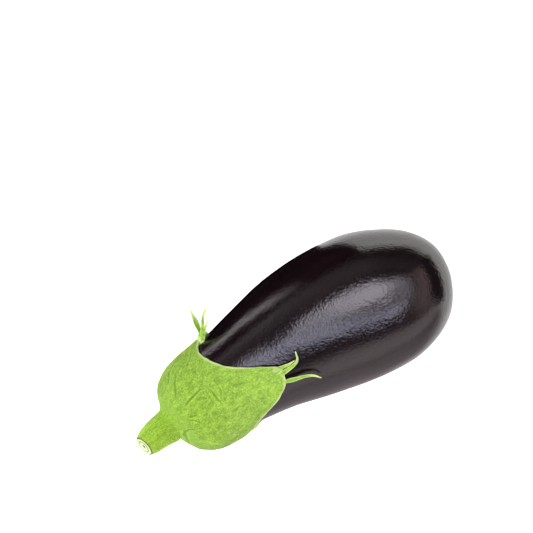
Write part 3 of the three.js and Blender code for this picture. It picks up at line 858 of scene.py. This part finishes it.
class Mat:
    """A small helper for building node materials."""

    def __init__(self, name):
        self.m = bpy.data.materials.new(name)
        self.m.use_nodes = True
        self.t = self.m.node_tree
        self.t.nodes.clear()
        self.out = self.t.nodes.new("ShaderNodeOutputMaterial")
        self.bsdf = self.t.nodes.new("ShaderNodeBsdfPrincipled")
        self.t.links.new(self.bsdf.outputs[0], self.out.inputs[0])

    def node(self, kind, **props):
        n = self.t.nodes.new(kind)
        for k, v in props.items():
            setattr(n, k, v)
        return n

    def link(self, a, b):
        self.t.links.new(a, b)

    def put(self, socket, value):
        if isinstance(value, bpy.types.NodeSocket):
            self.link(value, socket)
        elif value is not None:
            socket.default_value = value

    def attr(self, name, kind="Fac"):
        return self.node("ShaderNodeAttribute", attribute_name=name).outputs[kind]

    def position(self):
        return self.node("ShaderNodeTexCoord").outputs["Object"]

    def mapping(self, vec, scale, loc=(0, 0, 0)):
        n = self.node("ShaderNodeMapping")
        self.put(n.inputs["Vector"], vec)
        n.inputs["Scale"].default_value = scale
        n.inputs["Location"].default_value = loc
        return n.outputs[0]

    def noise(self, vec, scale, detail=2.0, rough=0.5, distortion=0.0):
        n = self.node("ShaderNodeTexNoise")
        self.put(n.inputs["Vector"], vec)
        n.inputs["Scale"].default_value = scale
        n.inputs["Detail"].default_value = detail
        n.inputs["Roughness"].default_value = rough
        n.inputs["Distortion"].default_value = distortion
        return n.outputs["Fac"]

    def voronoi(self, vec, scale, feature="F1", out="Distance"):
        n = self.node("ShaderNodeTexVoronoi", feature=feature)
        self.put(n.inputs["Vector"], vec)
        n.inputs["Scale"].default_value = scale
        return n.outputs[out]

    def ramp(self, fac, stops, interp="LINEAR"):
        n = self.node("ShaderNodeValToRGB")
        n.color_ramp.interpolation = interp
        e = n.color_ramp.elements
        while len(e) < len(stops):
            e.new(0.5)
        for el, (p, c) in zip(e, stops):
            el.position = p
            el.color = c if len(c) == 4 else (*c, 1)
        self.put(n.inputs[0], fac)
        return n.outputs[0]

    def math(self, op, a, b=None, clamp=False):
        n = self.node("ShaderNodeMath", operation=op, use_clamp=clamp)
        self.put(n.inputs[0], a)
        if b is not None:
            self.put(n.inputs[1], b)
        return n.outputs[0]

    def remap(self, v, a, b, c=0.0, d=1.0):
        n = self.node("ShaderNodeMapRange")
        self.put(n.inputs["Value"], v)
        for k, x in zip(("From Min", "From Max", "To Min", "To Max"), (a, b, c, d)):
            n.inputs[k].default_value = x
        return n.outputs[0]

    def mix(self, fac, a, b, blend="MIX"):
        n = self.node("ShaderNodeMix", data_type="RGBA", blend_type=blend)
        self.put(n.inputs[0], fac)
        self.put(n.inputs[6], a if isinstance(a, bpy.types.NodeSocket) else (*a, 1))
        self.put(n.inputs[7], b if isinstance(b, bpy.types.NodeSocket) else (*b, 1))
        return n.outputs[2]

    def bump(self, height, distance, strength=1.0, normal=None):
        n = self.node("ShaderNodeBump")
        n.inputs["Strength"].default_value = strength
        n.inputs["Distance"].default_value = distance
        self.put(n.inputs["Height"], height)
        if normal is not None:
            self.put(n.inputs["Normal"], normal)
        return n.outputs[0]


def skin_material():
    k = Mat("eggplant_skin")
    p = k.position()
    b = k.bsdf
    b.inputs["IOR"].default_value = 1.5
    b.inputs["Metallic"].default_value = 0.0
    # colour: near-black purple, browner in places
    blotch = k.noise(k.mapping(p, (14, 26, 26)), 1.0, 3, 0.55)
    streak = k.noise(k.mapping(p, (22, 240, 240), (3, 1, 2)), 1.0, 3, 0.6)
    base = k.ramp(blotch, [(0.30, (0.0028, 0.0014, 0.0021)), (0.55, (0.0038, 0.0017, 0.0023)), (0.75, (0.0056, 0.0025, 0.0029))])
    base = k.mix(k.remap(streak, 0.45, 0.75, 0.0, 0.35), base, (0.0085, 0.0042, 0.0055))
    base = k.mix(k.math("MULTIPLY", k.attr("shoulder"), 0.35), base, (0.016, 0.009, 0.012))
    scar = k.attr("scar")
    dry = k.ramp(k.noise(k.mapping(p, (1, 1, 1)), 900, 3, 0.6), [(0.35, (0.10, 0.065, 0.040)), (0.65, (0.26, 0.19, 0.12))])
    mask = k.remap(k.math("ADD", scar, k.math("MULTIPLY", k.noise(p, 700, 2), 0.35)), 0.52, 0.72)
    k.put(b.inputs["Base Color"], k.mix(mask, base, dry))
    rough = k.remap(k.noise(k.mapping(p, (60, 60, 60)), 1.0, 3), 0.3, 0.7, 0.095, 0.135)
    k.put(b.inputs["Roughness"], k.mix(mask, rough, (0.75, 0.75, 0.75)))
    # relief: close orange peel in three sizes, slightly drawn out round the fruit
    peel = k.noise(k.mapping(p, (900, 680, 680), (5, 5, 5)), 1.0, 2.0, 0.55, 0.2)
    coarse = k.noise(k.mapping(p, (430, 330, 330)), 1.0, 2.0, 0.5)
    grain = k.noise(k.mapping(p, (1900, 1500, 1500)), 1.0, 1.0, 0.5)
    long = k.noise(k.mapping(p, (60, 260, 260), (1, 7, 2)), 1.0, 2.0, 0.5)
    h = k.math("ADD", k.math("MULTIPLY", peel, 0.75), k.math("MULTIPLY", coarse, 0.40))
    h = k.math("ADD", h, k.math("MULTIPLY", grain, 0.10))
    h = k.math("ADD", h, k.math("MULTIPLY", long, 0.30))
    h = k.math("ADD", h, k.math("MULTIPLY", k.math("MULTIPLY", mask, k.noise(p, 1300, 3)), 1.5))
    k.put(b.inputs["Normal"], k.bump(h, 0.00023, 1.0))
    return k.m


def green_common(k, along=0.30):
    flow, p = k.attr("flow", "Vector"), k.position()
    # flow is in centimetres along the surface: x,y round it, z from the cut end to the lobes
    cloud = k.noise(k.mapping(flow, (1, 1, 1)), 1.1, 3, 0.6)
    blotch = k.noise(k.mapping(flow, (1, 1, 0.8), (7, 3, 1)), 2.4, 3, 0.65, 0.6)
    crinkle = k.voronoi(k.mapping(flow, (1, 1, 0.7), (1, 1, 5)), 5.5, "DISTANCE_TO_EDGE")
    mottle = k.noise(k.mapping(flow, (1, 1, 0.85), (3, 8, 2)), 7.5, 3, 0.65, 0.4)
    fibre = k.noise(k.mapping(flow, (1, 1, along), (2, 9, 4)), 13.0, 3, 0.65, 0.8)
    speck = k.noise(k.mapping(p, (1, 1, 1)), 1350, 2, 0.6)
    base = k.ramp(cloud, [(0.32, (0.160, 0.305, 0.0120)), (0.50, (0.208, 0.372, 0.0230)), (0.68, (0.250, 0.430, 0.0480))])
    base = k.mix(k.remap(blotch, 0.52, 0.64, 0.0, 0.50), base, (0.310, 0.520, 0.0300))
    base = k.mix(k.remap(blotch, 0.47, 0.35, 0.0, 0.50), base, (0.105, 0.225, 0.0075))
    # mottle, fibre and speck use the same noises as the relief below: these tones are partly the tissue's own mottling
    # and partly painted shade in the low places and painted highlight on the raised ones
    base = k.mix(k.remap(mottle, 0.53, 0.64, 0.0, 0.80), base, (0.310, 0.510, 0.0640))
    base = k.mix(k.remap(mottle, 0.46, 0.35, 0.0, 0.90), base, (0.095, 0.200, 0.0070))
    base = k.mix(k.remap(fibre, 0.54, 0.68, 0.0, 0.60), base, (0.300, 0.470, 0.0850))
    base = k.mix(k.remap(fibre, 0.45, 0.32, 0.0, 0.60), base, (0.120, 0.240, 0.0110))
    # painted shade along the crinkle cell edges, which are the creases of the relief
    base = k.mix(k.remap(crinkle, 0.10, 0.0, 0.0, 0.40), base, (0.130, 0.260, 0.0120))
    base = k.mix(k.remap(speck, 0.56, 0.70, 0.0, 0.45), base, (0.320, 0.480, 0.1100))
    base = k.mix(k.remap(speck, 0.44, 0.32, 0.0, 0.40), base, (0.130, 0.260, 0.0130))
    pucker = k.noise(k.mapping(flow, (1, 1, 0.8), (6, 2, 8)), 17.0, 2, 0.6, 1.6)
    # painted highlight on the raised puckers and painted shade in their hollows
    base = k.mix(k.remap(pucker, 0.54, 0.65, 0.0, 0.65), base, (0.330, 0.520, 0.0900))
    base = k.mix(k.remap(pucker, 0.46, 0.34, 0.0, 0.75), base, (0.105, 0.215, 0.0080))
    fold = k.attr("fold")
    # painted shade in the creases of the folds and painted highlight along their raised lips
    base = k.mix(k.remap(fold, -0.03, -0.30, 0.0, 0.75), base, (0.095, 0.195, 0.0070))
    base = k.mix(k.remap(fold, 0.04, 0.28, 0.0, 0.60), base, (0.300, 0.490, 0.0600))
    h = k.math("ADD", k.math("MULTIPLY", fibre, 0.55), k.math("MULTIPLY", mottle, 0.9))
    h = k.math("ADD", h, k.math("MULTIPLY", k.noise(k.mapping(flow, (1, 1, 0.45), (4, 4, 9)), 26.0, 3, 0.65), 0.40))
    h = k.math("ADD", h, k.math("MULTIPLY", speck, 0.15))
    h = k.math("ADD", h, k.math("MULTIPLY", pucker, 0.75))
    h = k.math("ADD", h, k.math("MULTIPLY", k.remap(crinkle, 0.0, 0.16), 0.22))
    # paler and greyer towards the front lobe; painted light on the stalk, whose colour is lifted towards the cut end,
    # with the crown beyond a little darker and yellower, without a break
    z = k.node("ShaderNodeSeparateXYZ")
    k.put(z.inputs[0], flow)
    pale = k.math("MULTIPLY", k.remap(z.outputs["Z"], 5.0, 8.0), k.remap(z.outputs["X"], 0.2, 2.2))
    base = k.mix(k.math("MULTIPLY", pale, 0.10), base, (0.330, 0.470, 0.1500))
    # painted light: the stalk end up to about 1.45 times lighter, as if more strongly lit
    base = k.mix(k.remap(z.outputs["Z"], 0.8, 3.2), k.mix(1.0, base, (1.45, 1.44, 1.14), "MULTIPLY"), k.mix(1.0, base, (0.90, 0.92, 0.76), "MULTIPLY"))
    # painted shade and highlight: the tone drops in the pucker hollows and rises on their crowns, with a little random
    # variation from the blotches
    depth = k.math("MULTIPLY", k.remap(blotch, 0.36, 0.64, 0.95, 1.05), k.remap(pucker, 0.36, 0.64, 0.84, 1.16))
    tone = k.node("ShaderNodeCombineXYZ")
    for i in range(3):
        k.put(tone.inputs[i], depth)
    base = k.mix(1.0, base, tone.outputs[0], "MULTIPLY")
    return base, h, flow, p, mottle


def calyx_material():
    k = Mat("calyx_tissue")
    base, h, flow, p, mottle = green_common(k)
    rim, tip = k.attr("rim"), k.attr("tip")
    base = k.mix(k.math("MULTIPLY", rim, 0.90), base, (0.520, 0.640, 0.2700))
    base = k.mix(k.remap(tip, 0.15, 0.95, 0.0, 0.90), base, (0.46, 0.56, 0.22))
    k.put(k.bsdf.inputs["Base Color"], base)
    k.put(k.bsdf.inputs["Roughness"], k.remap(mottle, 0.3, 0.7, 0.56, 0.68))
    k.bsdf.inputs["IOR"].default_value = 1.34
    k.put(k.bsdf.inputs["Normal"], k.bump(h, 0.00060, 1.0))
    return k.m


def stem_material():
    k = Mat("stem_tissue")
    base, h, flow, p, mottle = green_common(k, 0.60)
    cut = k.attr("cut")
    wob = k.math("MULTIPLY", k.math("SUBTRACT", k.noise(p, 650, 2), 0.5), 0.10)
    r = k.math("ADD", cut, wob)
    face = k.ramp(k.math("MULTIPLY", r, 0.5), [
        (0.0, (0.06, 0.065, 0.022)), (0.06, (0.10, 0.12, 0.045)), (0.10, (0.72, 0.80, 0.50)), (0.225, (0.82, 0.88, 0.62)),
        (0.262, (0.42, 0.52, 0.22)), (0.300, (0.24, 0.32, 0.11)), (0.330, (0.72, 0.82, 0.46)), (0.425, (0.74, 0.85, 0.44)),
        (0.452, (0.24, 0.33, 0.09)), (0.485, (0.050, 0.070, 0.016)), (0.505, (0.07, 0.10, 0.018)),
    ])
    grain = k.noise(k.mapping(p, (1, 1, 1)), 2600, 3, 0.6)
    face = k.mix(k.remap(grain, 0.40, 0.62, 0.25, 0.0), face, (0.34, 0.38, 0.20))
    dimple = k.voronoi(k.mapping(flow, (1, 1, 0.8), (2, 5, 3)), 3.6)
    # painted shade in the small dimples of the stalk
    base = k.mix(k.remap(dimple, 0.34, 0.12, 0.0, 0.70), base, (0.130, 0.245, 0.0090))
    onface = k.remap(cut, 1.02, 1.16, 1.0, 0.0)
    base = k.mix(onface, base, face)
    k.put(k.bsdf.inputs["Base Color"], base)
    k.put(k.bsdf.inputs["Roughness"], k.remap(mottle, 0.3, 0.7, 0.58, 0.70))
    k.bsdf.inputs["IOR"].default_value = 1.34
    h = k.math("ADD", h, k.math("MULTIPLY", k.remap(dimple, 0.0, 0.34), 0.75))
    k.put(k.bsdf.inputs["Normal"], k.bump(h, 0.00060, 1.0))
    return k.m


for o, m, node, slot in ((fruit, skin_material(), "fruit", "skin"),
                         (calyx, calyx_material(), "calyx", "calyx_green"),
                         (stem, stem_material(), "stem", "stem_green")):
    o.data.materials.clear()
    o.data.materials.append(m)
    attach(o, "root")
    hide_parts(node)


# ------------------------------------------------------------------ stage

def only(o, camera=False, diffuse=False, glossy=False, shadow=False):
    o.visible_camera, o.visible_diffuse, o.visible_glossy, o.visible_shadow = camera, diffuse, glossy, shadow
    o.visible_transmission = o.visible_volume_scatter = False


def card(name, verts, faces, material):
    me = bpy.data.meshes.new(name)
    me.from_pydata([tuple(v) for v in verts], [], faces)
    me.update()
    me.materials.append(material)
    o = bpy.data.objects.new(name, me)
    bpy.context.scene.collection.objects.link(o)
    return o


def matt(name, colour):
    k = Mat(name)
    k.bsdf.inputs["Base Color"].default_value = (*colour, 1)
    k.bsdf.inputs["Roughness"].default_value = 1.0
    k.bsdf.inputs["Specular IOR Level"].default_value = 0.0
    return k.m


# the floor that is seen, and a second one that only the glossy skin mirrors, with a painted shadow on its dim side near
# the fruit and a painted glow that rises away from it
FLOOR = [(-8, -8), (8, -8), (8, 8), (-8, 8)]
white = matt("floor_white", (0.90, 0.90, 0.87))
white.node_tree.nodes["Principled BSDF"].inputs["Emission Color"].default_value = (1.0, 1.0, 0.96, 1)
white.node_tree.nodes["Principled BSDF"].inputs["Emission Strength"].default_value = 0.55
floor = card("floor", [(x, y, 0) for x, y in FLOOR], [(0, 1, 2, 3)], white)
only(floor, camera=True, diffuse=True)

verts, faces = [], []
for i in range(49):
    a = 2 * math.pi * i / 48
    for r, zz in ((6.0, -0.001), (6.6, 0.08), (7.1, 0.35), (7.4, 0.9), (7.5, 2.0), (7.5, 5.0)):
        verts.append((r * math.cos(a), r * math.sin(a), zz))
faces = [(6 * i + j, 6 * i + 6 + j, 6 * i + 7 + j, 6 * i + 1 + j) for i in range(48) for j in range(5)]
k = Mat("sweep_white")
k.bsdf.inputs["Base Color"].default_value = (0.9, 0.9, 0.87, 1)
k.bsdf.inputs["Roughness"].default_value = 1.0
k.bsdf.inputs["Specular IOR Level"].default_value = 0.0
k.bsdf.inputs["Emission Color"].default_value = (1, 1, 0.99, 1)
k.bsdf.inputs["Emission Strength"].default_value = 1.0
sweep = card("sweep", verts, faces, k.m)
only(sweep, camera=True)

k = Mat("floor_mirrored")
k.bsdf.inputs["Roughness"].default_value = 1.0
k.bsdf.inputs["Specular IOR Level"].default_value = 0.0
n = k.node("ShaderNodeVectorMath", operation="DOT_PRODUCT")
k.put(n.inputs[0], k.position())
n.inputs[1].default_value = (-0.72, -0.694, 0)
side_on = n.outputs["Value"]  # metres towards the dim side
# painted shadow: darker towards the dim side, darkest in a band close to the fruit
k.put(k.bsdf.inputs["Base Color"], k.ramp(k.remap(side_on, -0.05, 0.45), [
    (0.0, (0.66, 0.67, 0.62)), (0.05, (0.66, 0.66, 0.61)), (0.16, (0.34, 0.31, 0.30)), (0.3, (0.42, 0.385, 0.375)), (0.7, (0.62, 0.57, 0.55))]))
k.bsdf.inputs["Emission Color"].default_value = (0.96, 0.97, 0.90, 1)
n = k.node("ShaderNodeVectorMath", operation="DISTANCE")
k.put(n.inputs[0], k.position())
n.inputs[1].default_value = (0.03, 0, 0)
beyond = k.remap(n.outputs["Value"], 0.11, 0.34, 0.22, 1.85)
# painted light: the floor glows on the bright side, more strongly away from the fruit
k.put(k.bsdf.inputs["Emission Strength"], k.math("MULTIPLY", k.remap(side_on, 0.01, -0.06), beyond))
mirror = card("floor_mirror", [(x, y, 0.0002) for x, y in FLOOR], [(0, 1, 2, 3)], k.m)
only(mirror, glossy=True)

TURN = rad(29)
VIEW_S, VIEW_Y, PLANE, DISTANCE = 116.26, 58.92, 44.0, 1000.0
cx, cy = (VIEW_S + SHIFT[0]) * MM, (VIEW_Y + SHIFT[1]) * MM
cam_data = bpy.data.cameras.new("camera")
cam = bpy.data.objects.new("camera", cam_data)
bpy.context.scene.collection.objects.link(cam)
right = Vector((math.cos(TURN), -math.sin(TURN), 0))
upv = Vector((math.sin(TURN), math.cos(TURN), 0))
cam.matrix_world = Matrix(((right.x, upv.x, 0, cx), (right.y, upv.y, 0, cy), (0, 0, 1, (PLANE + DISTANCE) * MM), (0, 0, 0, 1)))
cam_data.sensor_width = 36
cam_data.lens = 36 * DISTANCE / (533 * 0.6)
cam_data.clip_start, cam_data.clip_end = 0.05, 50
bpy.context.scene.camera = cam

# the softbox overhead: a broad bright field and, along its near edge, a second one past a dim fold.
# Angles are degrees off the vertical, u to the right of the picture and v up it.
HEIGHT = 1.45


def glow_at(u, v):
    th = np.hypot(u, v)
    az = np.degrees(np.arctan2(v, u)) % 360
    main = 6.3 * smooth((1.10 - np.hypot((u + 8.5) / 23.5, (v - 7.2) / 17.3)) / 0.20)
    ring = table([(0, 2.5), (35, 3.8), (60, 2.4), (85, 0.0), (150, 0.0), (170, 0.7), (185, 2.2), (200, 5.2), (215, 7.2), (240, 5.4), (270, 4.2), (300, 5.1), (322, 4.8), (342, 2.8)], 1, 360)(az)
    middle = table([(0, 28), (90, 28), (180, 30), (205, 33), (226, 34), (246, 28), (262, 25.5), (278, 26), (300, 28.5), (330, 28.5)], 1, 360)(az)
    near = ring * smooth((6.9 - np.abs(th - middle)) / 2.4)
    field = 1.0 * smooth((34.0 - th) / 2.5)
    cool = (smooth((near - main) / 2.0) * table([(0, 0.15), (180, 0.5), (215, 1.0), (290, 1.0), (330, 0.4)], 1, 360)(az))[:, None]
    return np.maximum(np.maximum(main, near), field), np.array([1.0, 0.945, 1.06]) * (1 - cool) + np.array([0.94, 0.93, 1.20]) * cool


k = Mat("softbox")
k.t.nodes.remove(k.bsdf)
em = k.node("ShaderNodeEmission")
k.link(em.outputs[0], k.out.inputs[0])
k.put(em.inputs["Color"], k.attr("tint", "Vector"))
k.put(em.inputs["Strength"], k.attr("glow"))
g = np.linspace(-43, 43, 131)
U, V = np.meshgrid(g, g)
u, v = U.ravel(), V.ravel()
th = np.maximum(np.hypot(u, v), 1e-6)
out = np.tan(np.radians(np.minimum(th, 60))) * HEIGHT / th
verts = [(0.02 + (a * right.x + b * upv.x) * o, (a * right.y + b * upv.y) * o, HEIGHT + 0.045) for a, b, o in zip(u, v, out)]
ok = (th < 43).reshape(U.shape)
idx = np.arange(u.size).reshape(U.shape)
faces = [(int(idx[i, j]), int(idx[i + 1, j]), int(idx[i + 1, j + 1]), int(idx[i, j + 1])) for i in range(130) for j in range(130)
         if ok[i:i + 2, j:j + 2].all()]
softbox = card("softbox", verts, faces, k.m)
glow, tint = glow_at(u, v)
attribute(softbox, "glow", glow)
attribute(softbox, "tint", tint)
only(softbox, diffuse=True, glossy=True)

# a dark flag on the far side, with a slim pale strip along it: only the skin mirrors it. Its flat foot is a dark sheet
# for painted shade on the floor there, and the glowing strip is a painted highlight
k = Mat("flag")
sep = k.node("ShaderNodeSeparateXYZ")
k.put(sep.inputs[0], k.position())
rise = k.math("MULTIPLY", k.math("ADD", sep.outputs["X"], 0.056), 0.45)
off = k.math("ABSOLUTE", k.math("SUBTRACT", k.math("SUBTRACT", sep.outputs["Z"], 0.0505), rise))
band = k.remap(off, 0.013, 0.004)
taper = k.math("MULTIPLY", k.remap(sep.outputs["X"], 0.008, -0.036), k.remap(sep.outputs["X"], -0.16, -0.12))
k.bsdf.inputs["Base Color"].default_value = (0.003, 0.0025, 0.003, 1)
k.bsdf.inputs["Roughness"].default_value = 1.0
k.bsdf.inputs["Specular IOR Level"].default_value = 0.0
k.bsdf.inputs["Emission Color"].default_value = (1.0, 0.93, 0.93, 1)
# painted highlight: the slim strip glows along the top of the flag
k.put(k.bsdf.inputs["Emission Strength"], k.math("MULTIPLY", k.math("MULTIPLY", band, taper), 3.4))
reach = [0.046, 0.048, 0.052, 0.060, 0.068, 0.080, 0.080]
# the first two rows lie flat on the floor: a dark sheet standing in for shade there
prof = [(0.030, 0.0006), (0.070, 0.0006), (0.085, 0.004), (0.093, 0.016), (0.095, 0.03), (0.095, 0.06), (0.092, 0.092)]
xs = [-0.17, -0.10, -0.03, 0.03, None]
verts = [(e if x is None else x, y, z) for x in xs for e, (y, z) in zip(reach, prof)]
m = len(prof)
faces = [(i * m + j, (i + 1) * m + j, (i + 1) * m + j + 1, i * m + j + 1) for i in range(len(xs) - 1) for j in range(m - 1)]
flag = card("flag", verts, faces, k.m)
only(flag, glossy=True)

# a broad soft fill at the stem's end, for the matt greens only
k = Mat("fill")
k.t.nodes.remove(k.bsdf)
em = k.node("ShaderNodeEmission")
k.link(em.outputs[0], k.out.inputs[0])
em.inputs["Color"].default_value = (1.0, 1.0, 0.97, 1)
em.inputs["Strength"].default_value = 3.0
fill = card("fill", [(-0.75, -0.5, 0.15), (-0.60, 0.75, 0.15), (-0.50, 0.65, 0.95), (-0.65, -0.45, 0.95)], [(0, 1, 2, 3)], k.m)
only(fill, diffuse=True)

# a low dark card beyond the blossom end
verts, faces = [], []
for i in range(9):
    a = rad(-38 + 58 * i / 8)
    for zz in (0.0006, 0.15, 0.30):
        verts.append((0.06 + 0.44 * math.cos(a), 0.44 * math.sin(a), zz))
faces = [(3 * i + j, 3 * i + 3 + j, 3 * i + 4 + j, 3 * i + 1 + j) for i in range(8) for j in (0, 1)]
low = card("low_flag", verts, faces, matt("flag_black", (0.03, 0.028, 0.03)))
only(low, glossy=True)

# the room: dim overhead, a pale wall on the near side and at the stem's end, dark low down beyond
world = bpy.data.worlds.new("studio")
bpy.context.scene.world = world
world.use_nodes = True


class World(Mat):
    def __init__(self, w):
        self.t = w.node_tree


k = World(world)
bg = world.node_tree.nodes["Background"]
ray = k.node("ShaderNodeTexCoord").outputs["Generated"]
sep = k.node("ShaderNodeSeparateXYZ")
k.put(sep.inputs[0], ray)
z = sep.outputs["Z"]
flat = k.node("ShaderNodeVectorMath", operation="MULTIPLY")
k.put(flat.inputs[0], ray)
flat.inputs[1].default_value = (1, 1, 0)
level = k.node("ShaderNodeVectorMath", operation="NORMALIZE")
k.put(level.inputs[0], flat.outputs[0])


def towards(vec, source):
    n = k.node("ShaderNodeVectorMath", operation="DOT_PRODUCT")
    k.put(n.inputs[0], source)
    n.inputs[1].default_value = Vector(vec).normalized()
    return n.outputs["Value"]


def grey(fac, stops):
    return k.ramp(fac, [(p, (v, v, v)) for p, v in stops])


def smoothed(v, a, b):
    n = k.node("ShaderNodeMapRange", interpolation_type="SMOOTHSTEP")
    k.put(n.inputs["Value"], v)
    n.inputs["From Min"].default_value, n.inputs["From Max"].default_value = a, b
    return n.outputs[0]


base = grey(z, [(0.0, 0.05), (0.36, 0.07), (0.5, 0.22), (0.75, 0.20), (1.0, 0.20)])
lower = k.math("MULTIPLY", k.math("MAXIMUM", k.math("SUBTRACT", towards((1, 0, 0), level.outputs[0]), 0.1), 0.0), 0.33)
wall = k.math("MULTIPLY", smoothed(towards((0.105, -1, 0), level.outputs[0]), 0.66, 0.80), smoothed(k.math("ADD", z, lower), 0.595, 0.555))
far = k.math("MULTIPLY", smoothed(towards((-0.15, 1, 0), level.outputs[0]), 0.80, 0.96), smoothed(z, 0.22, 0.36))
patch = smoothed(towards((0.64, -0.355, 0.68), ray), 0.88, 0.985)
stem_wall = k.math("MULTIPLY", smoothed(towards((-1, 0.1, 0), level.outputs[0]), 0.35, 0.85), smoothed(z, 0.55, 0.40))
sky = k.mix(far, base, (0.42, 0.37, 0.38))
sky = k.mix(patch, sky, (1.30, 1.02, 0.97))
sky = k.mix(smoothed(towards((0.86, -0.08, 0.50), ray), 0.93, 0.985), sky, (1.45, 1.06, 1.00))
sky = k.mix(stem_wall, sky, (1.05, 1.02, 1.02))
sky = k.mix(wall, sky, k.mix(smoothed(z, 0.64, 0.34), (1.12, 0.99, 1.01), (1.66, 1.45, 1.46)))
k.put(bg.inputs["Color"], sky)
bg.inputs["Strength"].default_value = 1.0

vs = bpy.context.scene.view_settings
bpy.context.scene.display_settings.display_device = "sRGB"
vs.view_transform = "Standard"
vs.look = "None"
vs.exposure = 0.0
vs.gamma = 1.0

print("triangles", {o.name: sum(len(p.vertices) - 2 for p in o.data.polygons) for o in (fruit, calyx, stem)})
